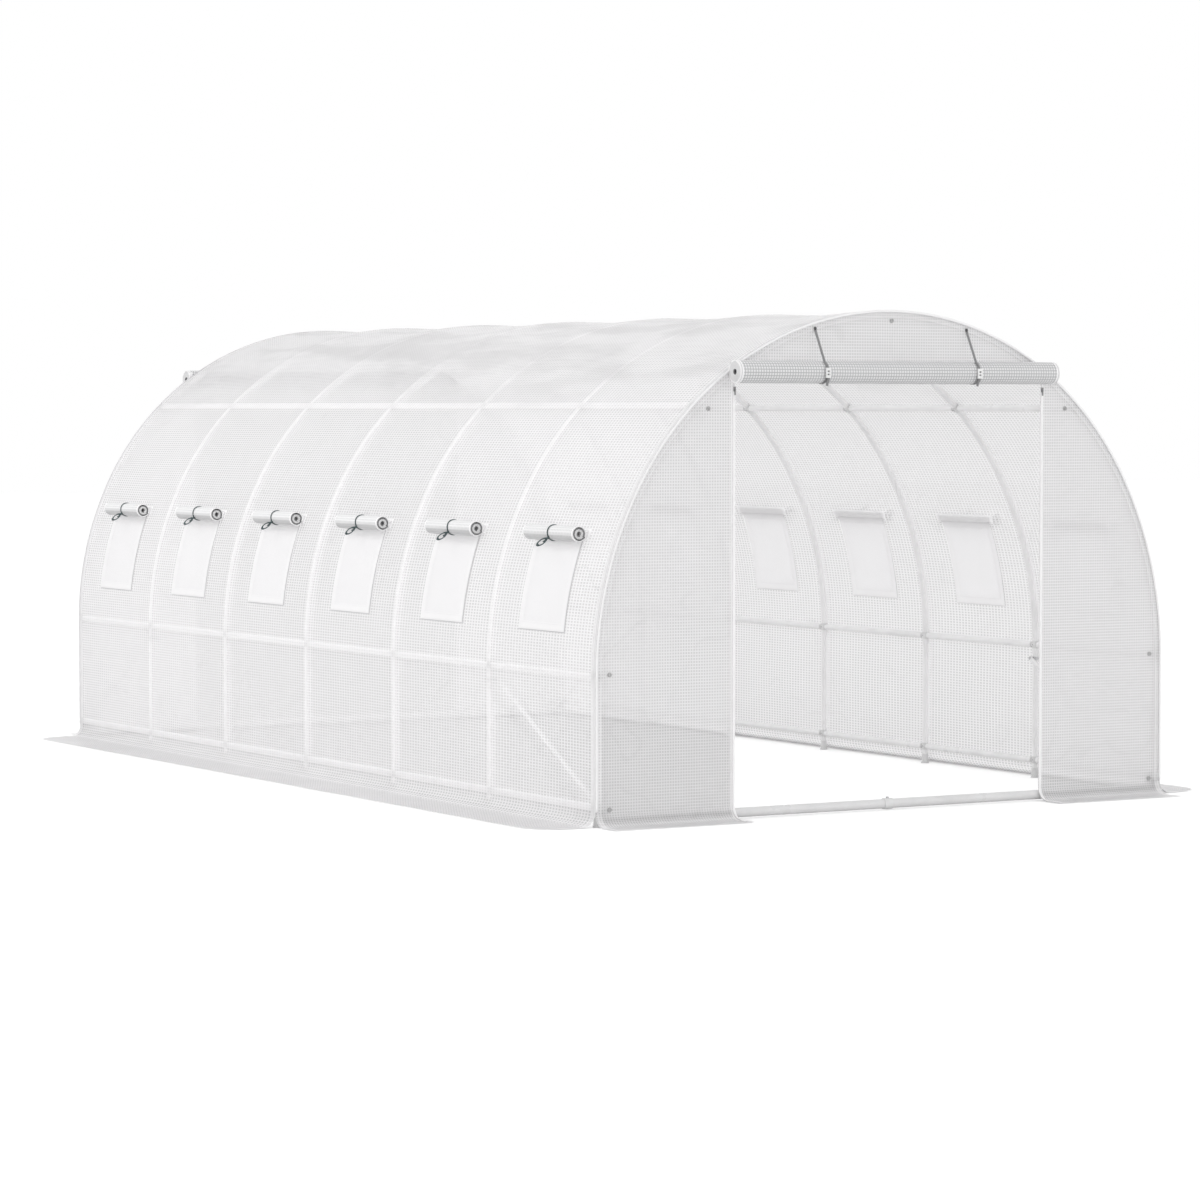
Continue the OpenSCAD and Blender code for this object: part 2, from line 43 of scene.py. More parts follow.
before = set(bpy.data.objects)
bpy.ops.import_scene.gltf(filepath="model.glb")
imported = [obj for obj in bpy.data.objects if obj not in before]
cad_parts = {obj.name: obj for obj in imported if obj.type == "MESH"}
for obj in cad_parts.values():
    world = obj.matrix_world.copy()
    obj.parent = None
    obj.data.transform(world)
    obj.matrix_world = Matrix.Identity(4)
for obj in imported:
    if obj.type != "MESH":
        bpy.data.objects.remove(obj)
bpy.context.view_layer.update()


# Sizes taken from the frame


def middle_of(node):
    """The middle of a frame node's box."""
    low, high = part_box(node)
    return (low + high) / 2


BAYS = 6
LEG_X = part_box("lower_legs")[1].x - 0.0125
HALF_LENGTH = -middle_of("hoop_1").y
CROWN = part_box("hoop_1")[1].z - 0.015
LEG_TOP = 0.640
SWEEP = math.radians(30)
BEND_GAP = (CROWN - LEG_TOP - LEG_X) / (math.sin(SWEEP) + math.cos(SWEEP) - 1)
ROOF_R = LEG_X - BEND_GAP * (1 - math.cos(SWEEP))
SHOULDER_R = ROOF_R + BEND_GAP
ROOF_Z = CROWN - ROOF_R
END_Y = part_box("front_gable")[1].y * -1
FILM_LOW = 0.061
BAY = 2 * HALF_LENGTH / BAYS
RAIL_Z = middle_of("base_rails").z
PURLIN_ANGLE = math.radians(46)
ENDS = (("front", -1), ("rear", 1))
SIDES = (("left", -1), ("right", 1))

# Where the soft pieces lie; the distances OUT are from the hoop's centre line

FILM_OUT = 0.0193
END_FILM_OUT = 0.0205
WELT_OUT = 0.0155
FLAP_OUT = 0.0571
FLAP_ABOVE_WINDOW = 0.014
STRAP_X = 0.4025


# The properties a user would change


class TunnelSizes(bpy.types.PropertyGroup):
    """Sizes of the soft pieces, in metres."""

    film_offset: FloatProperty(
        name="Film offset", description="From the hoop's centre line to the film", default=FILM_OUT,
        unit="LENGTH"
    )
    crown_sag: FloatProperty(
        name="Crown sag", description="How far the film sags between hoops over the crown", default=0.013,
        unit="LENGTH"
    )
    wall_sag: FloatProperty(
        name="Wall sag", description="How far the film pulls in between hoops on the walls",
        default=0.004, unit="LENGTH"
    )
    skirt_bend: FloatProperty(
        name="Skirt bend", description="Radius at which the skirts turn out", default=0.0595,
        unit="LENGTH"
    )
    side_skirt: FloatProperty(
        name="Side skirt", description="Reach of the side skirts", default=0.285, unit="LENGTH"
    )
    end_skirt: FloatProperty(
        name="End skirt", description="Reach of the end skirts", default=0.165, unit="LENGTH"
    )
    skirt_corner: FloatProperty(
        name="Skirt corner", description="Radius of the side skirts' corners", default=0.17, unit="LENGTH"
    )
    doorway: FloatProperty(
        name="Doorway", description="Half the clear width of a doorway", default=0.813, unit="LENGTH"
    )
    door_top: FloatProperty(
        name="Door top", description="Height of the gable's lower edge", default=1.911, unit="LENGTH"
    )
    window_width: FloatProperty(
        name="Window width", description="Width of a window along the tunnel", default=0.400,
        unit="LENGTH"
    )
    window_low: FloatProperty(
        name="Window sill", description="Height of a window's lower edge", default=0.815, unit="LENGTH"
    )
    window_high: FloatProperty(
        name="Window head", description="Height of a window's upper edge", default=1.222, unit="LENGTH"
    )
    hem: FloatProperty(
        name="Window hem", description="Width of the hem round a window's screen", default=0.036,
        unit="LENGTH"
    )
    flap_radius: FloatProperty(
        name="Flap roll radius", description="Outside radius of a rolled window flap", default=0.0338,
        unit="LENGTH"
    )
    door_radius: FloatProperty(
        name="Door roll radius", description="Outside radius of a rolled door", default=0.0488,
        unit="LENGTH"
    )
    thread_pitch: FloatProperty(
        name="Thread pitch", description="Spacing of the reinforcing threads in the film", default=0.0131,
        unit="LENGTH"
    )


class TunnelColours(bpy.types.PropertyGroup):
    """Colours and levels of the finishes."""

    film: FloatVectorProperty(
        name="Film", description="Colour of the film", default=(0.78, 0.772, 0.78), subtype="COLOR",
        min=0, max=1
    )
    thread: FloatVectorProperty(
        name="Thread", description="Colour of the reinforcing threads", default=(0.98, 0.975, 0.98),
        subtype="COLOR", min=0, max=1
    )
    hem: FloatVectorProperty(
        name="Hem", description="Colour of hems and tapes", default=(0.92, 0.915, 0.92), subtype="COLOR",
        min=0, max=1
    )
    steel: FloatVectorProperty(
        name="Powder coat", description="Colour of the coated tubes", default=(0.86, 0.856, 0.86),
        subtype="COLOR", min=0, max=1
    )
    fitting: FloatVectorProperty(
        name="Fitting", description="Colour of the moulded fittings", default=(0.80, 0.80, 0.80),
        subtype="COLOR", min=0, max=1
    )
    webbing: FloatVectorProperty(
        name="Webbing", description="Colour of the door straps", default=(0.26, 0.26, 0.265),
        subtype="COLOR", min=0, max=1
    )
    cord: FloatVectorProperty(
        name="Tie cord", description="Colour of the window ties", default=(0.045, 0.07, 0.072),
        subtype="COLOR", min=0, max=1
    )
    clear: FloatProperty(
        name="Clear cells", description="How much shows through the film between its threads",
        default=0.62, min=0, max=1, subtype="FACTOR"
    )
    front: FloatProperty(
        name="Front light", description="How much light comes from in front of the tunnel", default=1.0,
        min=0
    )
    zenith: FloatProperty(
        name="Top light", description="How much light comes from straight above", default=0.37, min=0
    )
    fill: FloatProperty(
        name="Fill", description="Strength of the soft light all round", default=1.38, min=0
    )
    behind_film: FloatProperty(
        name="Studio behind film", description="Brightness of the studio seen through the film",
        default=0.60, min=0
    )
    lamp: FloatProperty(
        name="Softbox", description="Power of the softbox on the left, in watts", default=322.0, min=0
    )


# The hoop's section


def on_section(angle, offset):
    """A point on the arch by its angle from the right springing, and the way outwards there."""
    side = 1
    if angle > math.pi / 2:
        angle, side = math.pi - angle, -1
    out = Vector((side * math.cos(angle), 0, math.sin(angle)))
    if angle < SWEEP:
        centre = Vector((side * (LEG_X - SHOULDER_R), 0, LEG_TOP))
        return centre + out * (SHOULDER_R + offset), out
    return Vector((0, 0, ROOF_Z)) + out * (ROOF_R + offset), out


def shoulder_angle(height, offset):
    """The angle of the shoulder bend at a height."""
    return math.asin((height - LEG_TOP) / (SHOULDER_R + offset))


def arch_top(x, offset):
    """Height of the arch over a place across the tunnel."""
    x = min(abs(x), LEG_X + offset)
    if x <= math.cos(SWEEP) * (ROOF_R + offset):
        return ROOF_Z + math.sqrt((ROOF_R + offset) ** 2 - x * x)
    return LEG_TOP + math.sqrt(max(0.0, (SHOULDER_R + offset) ** 2 - (x - LEG_X + SHOULDER_R) ** 2))


def arch_reach(z, offset):
    """How far out the arch stands at a height."""
    if z <= LEG_TOP:
        return LEG_X + offset
    if z <= LEG_TOP + math.sin(SWEEP) * (SHOULDER_R + offset):
        return LEG_X - SHOULDER_R + math.sqrt((SHOULDER_R + offset) ** 2 - (z - LEG_TOP) ** 2)
    return math.sqrt(max(0.0, (ROOF_R + offset) ** 2 - (z - ROOF_Z) ** 2))


def flap_axis(sizes):
    """The middle line of a rolled flap on the right wall, and the ways outwards and up the wall there."""
    height = sizes.window_high + FLAP_ABOVE_WINDOW
    centre, out = on_section(math.asin((height - LEG_TOP) / (SHOULDER_R + FLAP_OUT)), FLAP_OUT)
    return centre, out, Vector((-out.z, 0, out.x))


def door_axis():
    """How far along the tunnel and how high the middle line of the rear rolled door lies."""
    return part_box("door_rolls")[1].y - 0.0505, middle_of("door_rolls").z


def windows():
    """Each window's side, hand, number and place along the tunnel."""
    for side, hand in SIDES:
        for n in range(1, BAYS + 1):
            yield side, hand, n, -HALF_LENGTH + (n - 0.5) * BAY


def steps(*stops):
    """Distances between stops: steps(0, 4, 1.0, 2, 1.5) has four steps to 1.0 and two to 1.5."""
    made = [stops[0]]
    for count, stop in zip(stops[1::2], stops[2::2]):
        start = made[-1]
        made += [start + (stop - start) * (k + 1) / count for k in range(count)]
    return made


def bump(t):
    """Rises from 0 to 1 and back as t goes from 0 to 1."""
    return math.sin(math.pi * min(1.0, max(0.0, t))) ** 2


def ripple(x, y, z, size, seed=0.0):
    """A smooth wander between about -1 and 1."""
    return noise.noise(Vector((x / size + seed, y / size - seed, z / size + 0.37 * seed)))


# Making pieces


def finished(name, mesh, body, material, slot, *nodes):
    """Links a piece at the origin, rides it and hides the frame nodes that it stands for."""
    piece = bpy.data.objects.new(name, mesh)
    bpy.context.scene.collection.objects.link(piece)
    if material:
        mesh.materials.append(material)
    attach(piece, body)
    if nodes:
        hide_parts(*nodes)
    return piece


def to_mesh(bm, name, smooth=True):
    """The bmesh as a mesh, smooth shaded."""
    for face in bm.faces:
        face.smooth = smooth
    mesh = bpy.data.meshes.new(name)
    bm.to_mesh(mesh)
    bm.free()
    return mesh


def cloth(across, along, place, away, keep=None):
    """A grid cut at flat distances and laid in place; the UV map Cut keeps its flat distances."""
    bm = bmesh.new()
    cut = bm.loops.layers.uv.new("Cut")
    nx, ny = len(across) - 1, len(along) - 1
    bmesh.ops.create_grid(bm, x_segments=nx, y_segments=ny, size=1.0)
    flat = {}
    for vert in bm.verts:
        flat[vert] = (across[round((vert.co.x + 1) / 2 * nx)], along[round((vert.co.y + 1) / 2 * ny)])
    area, gone = 0.0, []
    for face in bm.faces:
        corners = [flat[loop.vert] for loop in face.loops]
        middle = (sum(c[0] for c in corners) / 4, sum(c[1] for c in corners) / 4)
        if keep and not keep(*middle):
            gone.append(face)
            continue
        area += (
            max(c[0] for c in corners) - min(c[0] for c in corners)
        ) * (max(c[1] for c in corners) - min(c[1] for c in corners))
        for loop in face.loops:
            loop[cut].uv = flat[loop.vert]
    if gone:
        bmesh.ops.delete(bm, geom=gone, context="FACES")
    for vert in bm.verts:
        vert.co = place(*flat[vert])
    bm.normal_update()
    if sum(face.normal.dot(away(face.calc_center_median())) * face.calc_area() for face in bm.faces) < 0:
        bmesh.ops.reverse_faces(bm, faces=bm.faces)
    return bm, area


def surface_area(bm):
    """Area of all the faces, in square metres."""
    return sum(face.calc_area() for face in bm.faces)


def from_axis(point):
    """The way outwards from the tunnel's long middle line."""
    return Vector((point.x, 0, point.z - 0.6))


def thicken(piece, thickness, offset=0.0):
    """Gives a sheet its thickness."""
    solid = piece.modifiers.new("Thickness", "SOLIDIFY")
    solid.thickness = thickness
    solid.offset = offset
    solid.use_even_offset = False


def along_path(bm, path, radius, sides, wide=1.0, up=Vector((0, 0, 1))):
    """Draws a round or oval rod along a path of points, by extruding its end from point to point."""

    def stand(k):
        before, after = path[max(k - 1, 0)], path[min(k + 1, len(path) - 1)]
        ahead = (after - before).normalized()
        side = ahead.cross(up).normalized()
        turn = Matrix((side * wide, side.cross(ahead), ahead)).transposed().to_4x4()
        return Matrix.Translation(path[k]) @ turn

    ring = bmesh.ops.create_circle(
        bm, cap_ends=True, segments=sides, radius=radius, matrix=stand(0)
    )["verts"]
    end = next(face for face in ring[0].link_faces)
    for k in range(1, len(path)):
        grown = bmesh.ops.extrude_face_region(bm, geom=[end], use_keep_orig=k == 1)["geom"]
        move = stand(k) @ stand(k - 1).inverted()
        bmesh.ops.transform(
            bm, matrix=move, verts=[g for g in grown if isinstance(g, bmesh.types.BMVert)]
        )
        end = next(g for g in grown if isinstance(g, bmesh.types.BMFace))


def closed_loop(bm, at, long, wide, radius, turn):
    """A small loop of cord: a circle spun round and drawn out long."""
    ring = bmesh.ops.create_circle(
        bm, segments=7, radius=radius,
        matrix=Matrix.Translation((wide, 0, 0)) @ Matrix.Rotation(math.pi / 2, 4, "X")
    )["verts"]
    bmesh.ops.spin(
        bm, geom=ring + list(dict.fromkeys(e for v in ring for e in v.link_edges)), cent=(0, 0, 0),
        axis=(0, 0, 1), angle=2 * math.pi, steps=24, use_merge=True
    )
    made = dict.fromkeys(ring)
    grow = list(ring)
    while grow:
        for edge in grow.pop().link_edges:
            for vert in edge.verts:
                if vert not in made:
                    made[vert] = None
                    grow.append(vert)
    bmesh.ops.scale(bm, vec=(1, long / wide, 1), verts=list(made))
    bmesh.ops.transform(bm, matrix=Matrix.Translation(at) @ turn, verts=list(made))


def closed_up(bm):
    """Turns the faces of a closed shape outwards."""
    bmesh.ops.recalc_face_normals(bm, faces=bm.faces)


def in_order(bm):
    """The same shape with its corners and faces numbered by place, so that each run numbers them alike."""
    corners = sorted(bm.verts, key=lambda vert: tuple(vert.co))
    number = {vert: k for k, vert in enumerate(corners)}
    faces = [[number[vert] for vert in face.verts] for face in bm.faces]
    ordered = bmesh.new()
    made = [ordered.verts.new(vert.co) for vert in corners]
    for face in sorted(faces, key=sorted):
        ordered.faces.new([made[k] for k in face])
    bm.free()
    return ordered


# Finishes


class Sock:
    """A shader socket that Python's own signs do sums with."""

    def __init__(self, finish, socket):
        self.finish, self.socket = finish, socket

    def _do(self, operation, *terms):
        return self.finish.node("ShaderNodeMath", {"operation": operation}, dict(enumerate(terms)))[0]

    def __add__(self, other):
        return self._do("ADD", self, other)

    def __sub__(self, other):
        return self._do("SUBTRACT", self, other)

    def __rsub__(self, other):
        return self._do("SUBTRACT", other, self)

    def __mul__(self, other):
        return self._do("MULTIPLY", self, other)

    def __truediv__(self, other):
        return self._do("DIVIDE", self, other)

    def __gt__(self, other):
        return self._do("GREATER_THAN", self, other)

    def __lt__(self, other):
        return self._do("LESS_THAN", self, other)

    __radd__ = __add__
    __rmul__ = __mul__

    def fraction(self):
        return self._do("FRACT", self)

    def size(self):
        return self._do("ABSOLUTE", self)

    def root(self):
        return self._do("SQRT", self)

    def most(self, other):
        return self._do("MAXIMUM", self, other)

    def least(self, other):
        return self._do("MINIMUM", self, other)

    def ease(self, low, high, to_low=0.0, to_high=1.0):
        """Runs smoothly from to_low to to_high as the value goes from low to high."""
        return self.finish.node(
            "ShaderNodeMapRange", {"interpolation_type": "SMOOTHSTEP"},
            {0: self, 1: low, 2: high, 3: to_low, 4: to_high}
        )[0]


class Outputs:
    """A node's outputs by name or number."""

    def __init__(self, finish, node):
        self.finish, self.node = finish, node

    def __getitem__(self, key):
        return Sock(self.finish, self.node.outputs[key])


class Nodes:
    """Adds nodes to a tree."""

    def __init__(self, tree):
        self.tree = tree

    def node(self, kind, settings=None, inputs=None):
        made = self.tree.nodes.new(kind)
        for key, value in (settings or {}).items():
            setattr(made, key, value)
        for key, value in (inputs or {}).items():
            if isinstance(value, Sock):
                self.tree.links.new(value.socket, made.inputs[key])
            else:
                made.inputs[key].default_value = value
        return Outputs(self, made)


class Finish(Nodes):
    """One procedural material."""

    def __init__(self, name, **constants):
        self.material = bpy.data.materials.new(name)
        self.material.use_nodes = True
        super().__init__(self.material.node_tree)
        self.shader = next(n for n in self.tree.nodes if n.type == "BSDF_PRINCIPLED")
        for key, value in constants.items():
            self.shader.inputs[key.replace("_", " ")].default_value = value

    def put(self, **links):
        for key, value in links.items():
            self.tree.links.new(value.socket, self.shader.inputs[key.replace("_", " ")])

    def mix(self, mask, a, b):
        a, b = (x if isinstance(x, Sock) else (*x[:3], 1) for x in (a, b))
        return self.node("ShaderNodeMix", {"data_type": "RGBA"}, {0: mask, 6: a, 7: b})[2]

    def place(self):
        return self.node("ShaderNodeTexCoord")["Object"]

    def xyz(self, place=None):
        """The three parts of a place on the object."""
        split = self.node("ShaderNodeSeparateXYZ", None, {0: place or self.place()})
        return split["X"], split["Y"], split["Z"]

    def cut(self):
        """The flat distances across and along the sheet that the piece was cut from."""
        xyz = self.node(
            "ShaderNodeSeparateXYZ", None,
            {"Vector": self.node("ShaderNodeUVMap", {"uv_map": "Cut"})["UV"]}
        )
        return xyz["X"], xyz["Y"]

    def cloud(self, scale, detail=2.0, roughness=0.5, vector=None):
        return self.node(
            "ShaderNodeTexNoise", None,
            {"Scale": scale, "Detail": detail, "Roughness": roughness, "Vector": vector or self.place()}
        )["Fac"]

    def let_light_through(self, colour, share, except_where=None):
        """Passes a share of the light on through a thin sheet, scattered."""
        thin = self.node("ShaderNodeBsdfTranslucent", None, {"Color": (*colour[:3], 1)})
        out = next(n for n in self.tree.nodes if n.type == "OUTPUT_MATERIAL")
        both = self.tree.nodes.new("ShaderNodeMixShader")
        both.inputs[0].default_value = share
        if except_where:
            self.tree.links.new((share - share * except_where).socket, both.inputs[0])
        self.tree.links.new(self.shader.outputs[0], both.inputs[1])
        self.tree.links.new(thin["BSDF"].socket, both.inputs[2])
        self.tree.links.new(both.outputs[0], out.inputs["Surface"])

    def relief(self, height, strength, distance):
        self.put(
            Normal=self.node(
                "ShaderNodeBump", None, {"Height": height, "Strength": strength, "Distance": distance}
            )["Normal"]
        )


def shade(colour, level):
    """A colour made lighter or darker."""
    return tuple(c * level for c in colour)


def thread_grid(finish, pitch, width, stretch=1.0):
    """Masks of the crossing threads, 1 on a thread, and the flat distances."""
    u, v = finish.cut()
    lines = []
    for along, apart in ((u, pitch), (v, pitch * stretch)):
        lines.append(((along / apart).fraction() - 0.5).size().ease(0.5 - width, 0.5 - width * 0.4))
    return lines[0], lines[1], u, v


def end_hem(f):
    """The sewn hem at each end of the cover: 1 on the hem, and 1 on its grooves and stitches."""
    _, along, _ = f.xyz()
    from_end = END_Y - along.size()
    u, _ = f.cut()
    dash = ((u / 0.016).fraction() < 0.62).most(0.3)
    groove = (from_end - 0.012).size().ease(0.002, 0.004, 1.0, 0.0)
    stitches = (from_end - 0.028).size().ease(0.002, 0.004, 1.0, 0.0) * dash
    return from_end.ease(0.034, 0.038, 1.0, 0.0), groove.most(stitches)


def window_patch(f, sizes):
    """1 on the strip of doubled film over each window, where its flap is sewn on and rolled up."""
    _, along, high = f.xyz()
    from_middle = ((along / BAY).fraction() - 0.5).size() * BAY
    from_head = (high - sizes.window_high - FLAP_ABOVE_WINDOW).size()
    return (from_middle < sizes.window_width / 2 + 0.034) * (from_head < 0.021)


def hoop_behind(f):
    """1 where the end hoop stands right behind an end cover; there the film gets painted light from the
    hoop.
    """
    across, _, high = f.xyz()
    across = across.size()
    roof = ((across * across + (high - ROOF_Z) * (high - ROOF_Z)).root() - ROOF_R).size()
    from_shoulder = across - (LEG_X - SHOULDER_R)
    lift = (high - LEG_TOP).most(0.0)
    shoulder = ((from_shoulder * from_shoulder + lift * lift).root() - SHOULDER_R).size()
    meet = LEG_TOP + SHOULDER_R * math.sin(SWEEP)
    upper = high > meet
    return (roof * upper + shoulder * (1 - upper)).ease(0.011, 0.016, 1.0, 0.0)


def over_tubes(f):
    """1 where the cover lies on a hoop, a purlin or a base rail, and less over the crown: the mask of the
    painted light from the tubes behind the film.
    """
    across, along, high = f.xyz()
    across = across.size()
    upper, _ = on_section(PURLIN_ANGLE, FILM_OUT)
    from_hoop = (0.5 - ((along / BAY).fraction() - 0.5).size()) * BAY
    bands = from_hoop.ease(0.0155, 0.0195, 1.0, 0.0) * high.ease(upper.z - 0.05, upper.z + 0.25, 1.0, 0.3)
    for height in (LEG_TOP, RAIL_Z):
        bands = bands.most((high - height).size().ease(0.011, 0.017, 1.0, 0.0))
    off_purlin = (high - upper.z).size().most((across - upper.x).size())
    return bands.most(off_purlin.ease(0.011, 0.016, 0.8, 0.0)) * high.ease(0.03, 0.06)


def film_finish(name, colours, sizes, edge, tint=1.0, cover=True):
    """Reinforced film: part clear cells in a grid of threads, with creases and a bound edge. It carries
    painted shade along its folds and along the skirt's bend, and painted light where tubes stand behind
    it.
    """
    f = Finish(name, IOR=1.46)
    one, two, _, _ = thread_grid(f, sizes.thread_pitch, 0.24, 1.95 if cover else 1.0)
    threads = one.most(two)
    place = f.place()
    cloudy = f.cloud(2.2, 3.0, 0.6, place)
    folds = (f.cloud(1.7, 2.0, 0.55, place) - 0.5).size().ease(0.0, 0.010, 1.0, 0.0)
    folds = folds * cloudy.ease(0.45, 0.6)
    cell = f.mix(
        cloudy.ease(0.3, 0.75), shade(colours.film, tint * 1.03), shade(colours.film, tint * 0.95)
    )
    colour = f.mix(threads, cell, shade(colours.thread, tint))
    # painted shade: the film is darkened along its folds
    colour = f.mix(folds * 0.22, colour, shade(colours.film, 0.62 * tint))
    solid = threads * 0.32 + (1 - colours.clear) + cloudy.ease(0.3, 0.8, -0.03, 0.05)
    # painted light: the film is painted whiter, and made more solid, over the tubes standing right behind
    # it
    bands = over_tubes(f) if cover else hoop_behind(f) * 0.8
    colour = f.mix(bands, colour, shade(colours.thread, 1.0))
    solid = solid + bands * 0.36
    if cover:
        patch = window_patch(f, sizes)
        colour = f.mix(patch, colour, shade(colours.thread, 1.02))
        solid = solid + patch
        hem, lines = end_hem(f)
        colour = f.mix(hem * 0.5, colour, colours.hem)
        colour = f.mix(lines * 0.7, colour, shade(colours.hem, 0.66))
        solid = solid + hem * 0.3
        streaks = f.cloud(
            2.6, 4.0, 0.6,
            f.node(
                "ShaderNodeVectorMath", {"operation": "MULTIPLY"}, {0: place, 1: (1.6, 0.35, 1.6)}
            )["Vector"]
        )
        _, _, high = f.xyz(place)
        colour = f.mix(
            streaks.ease(0.44, 0.62) * high.ease(1.70, 2.00, 0.0, 0.6), colour, shade(colours.film, 0.55)
        )
    grounded = f.xyz(place)[2].ease(0.010, 0.035, 1.0, 0.0)
    laid = f.mix(threads, shade(colours.film, 1.03), shade(colours.film, 1.06))
    u, v = f.cut()
    bound = ((u - edge / 2).size() - edge / 2 if cover else v + edge).size() < 0.012
    binding = (0.97, 0.965, 0.97)
    laid = f.mix(bound, laid, binding)
    colour = f.mix(grounded, colour, laid)
    # painted shade: a dark line along the skirt's bend, 14 mm above the ground, where the film meets the
    # floor
    fold = (f.xyz(place)[2] - 0.0140).size().ease(0.002, 0.005, 1.0, 0.0)
    colour = f.mix(fold * 0.14, colour, shade(colours.film, 0.35))
    solid = solid + grounded * 0.25
    if not cover:
        beside_zip = (u.size() - sizes.doorway - 0.0145).size() < 0.0045
        colour = f.mix(beside_zip, colour, binding)
        solid = solid + beside_zip
    creases = f.cloud(9.0, 4.0, 0.55, place)
    f.put(
        Base_Color=colour,
        Alpha=solid.least(1.0),
        Roughness=f.cloud(60.0, 2.0, 0.5, place).ease(0.2, 0.8, 0.38, 0.55),
    )
    f.relief(threads * 0.0006 + creases * 0.006 - folds * 0.002, 0.55, 1.0)
    f.let_light_through(shade(colours.thread, tint), 0.40, grounded)
    return f.material


def coated_tube(name, colours, tint=1.0):
    """White powder coat with a fine orange peel and faint handling marks."""
    f = Finish(name, IOR=1.5)
    place = f.place()
    marks = f.cloud(5.0, 4.0, 0.65, place)
    peel = f.cloud(900.0, 2.0, 0.5, place)
    f.put(
        Base_Color=f.mix(
            marks.ease(0.45, 0.72), shade(colours.steel, tint), shade(colours.steel, 0.93 * tint)
        ),
        Roughness=marks.ease(0.3, 0.7, 0.26, 0.40),
    )
    f.relief(peel, 0.12, 0.0006)
    return f.material


def moulded_fitting(name, colours, tint=1.0):
    """Moulded white plastic with a fine spark-eroded grain."""
    f = Finish(name, IOR=1.47)
    place = f.place()
    f.put(
        Base_Color=f.mix(
            f.cloud(14.0, 3.0, 0.5, place).ease(0.35, 0.7), shade(colours.fitting, tint),
            shade(colours.fitting, 0.92 * tint)
        ),
        Roughness=f.cloud(400.0, 2.0, 0.5, place).ease(0.2, 0.8, 0.40, 0.58),
    )
    f.relief(f.cloud(1400.0, 2.0, 0.6, place), 0.2, 0.0004)
    return f.material


def zinc_plate(name, tone):
    """Zinc-plated steel with faint streaks."""
    f = Finish(name, Metallic=0.85)
    place = f.place()
    streak = f.cloud(160.0, 3.0, 0.6, place)
    f.put(
        Base_Color=f.mix(
            streak.ease(0.3, 0.7), (tone, tone, tone * 1.01), (tone * 0.8, tone * 0.8, tone * 0.82)
        ),
        Roughness=streak.ease(0.2, 0.8, 0.28, 0.5)
    )
    f.relief(streak, 0.15, 0.0003)
    return f.material


def tape_finish(name, colours):
    """White woven tape with a row of stitches near each edge."""
    f = Finish(name, Roughness=0.6, IOR=1.46)
    u, v = f.cut()
    weave = ((u / 0.0012).fraction() - 0.5).size() + ((v / 0.0012).fraction() - 0.5).size()
    seam = ((v / 0.0045).fraction() < 0.62) * ((u.size() - 0.004).size() < 0.0006)
    f.put(Base_Color=f.mix(seam, colours.hem, shade(colours.hem, 0.86)))
    f.relief(weave * 0.0002 - seam * 0.0005, 0.5, 1.0)
    return f.material


def webbing_finish(name, colour):
    """Woven webbing: diagonal ribs with lighter fibre tips."""
    f = Finish(name, Roughness=0.75, IOR=1.46)
    u, v = f.cut()
    rib = ((v / 0.0022 + (u / 0.003).size()).fraction() - 0.5).size()
    f.put(Base_Color=f.mix(rib.ease(0.1, 0.45), shade(colour, 0.7), shade(colour, 1.25)))
    f.relief(rib * 0.0005, 0.7, 1.0)
    return f.material


# Operators


class Dressing(bpy.types.Operator):
    """Shared settings of the dressing operators."""

    bl_idname = "tunnel.dressing"
    bl_label = "Tunnel dressing"
    bl_options = {"REGISTER", "UNDO"}

    @property
    def sizes(self):
        return bpy.context.scene.tunnel_sizes

    @property
    def colours(self):
        return bpy.context.scene.tunnel_colours

    def execute(self, context):
        self.make()
        return {"FINISHED"}


class TUNNEL_OT_frame_finishes(Dressing):
    """Gives every piece of the metal frame its finish."""

    bl_idname = "tunnel.frame_finishes"
    bl_label = "Frame finishes"

    def make(self):
        tube = coated_tube("Powder coated tube", self.colours)
        # painted shade: the sills get a darker copy of the tube finish (tint 0.84)
        sill = coated_tube("Shaded sill tube", self.colours, 0.84)
        fitting = moulded_fitting("Moulded fitting", self.colours, 0.92)
        zinc = zinc_plate("Zinc plate", 0.62)
        dark = zinc_plate("Dark plated steel", 0.24)
        toggle = moulded_fitting("Toggle plastic", self.colours, 0.50)
        plastic = moulded_fitting("Buckle plastic", self.colours, 1.08)
        wanted = {
            tube: [f"hoop_{n}" for n in range(1, 8)] + [
                "lower_legs", "middle_purlins", "upper_purlins", "base_rails", "braces"
            ],
            sill: ["door_sills"],
            fitting: ["foot_caps", "middle_collars", "upper_collars", "base_collars", "sill_sleeves"],
            zinc: ["sill_bolts", "brace_clips"],
            dark: ["zip_sliders"],
            toggle: ["end_fasteners"],
            plastic: ["strap_buckles"],
        }
        for material, nodes in wanted.items():
            for node in nodes:
                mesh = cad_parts[node].data
                mesh.materials.clear()
                mesh.materials.append(material)


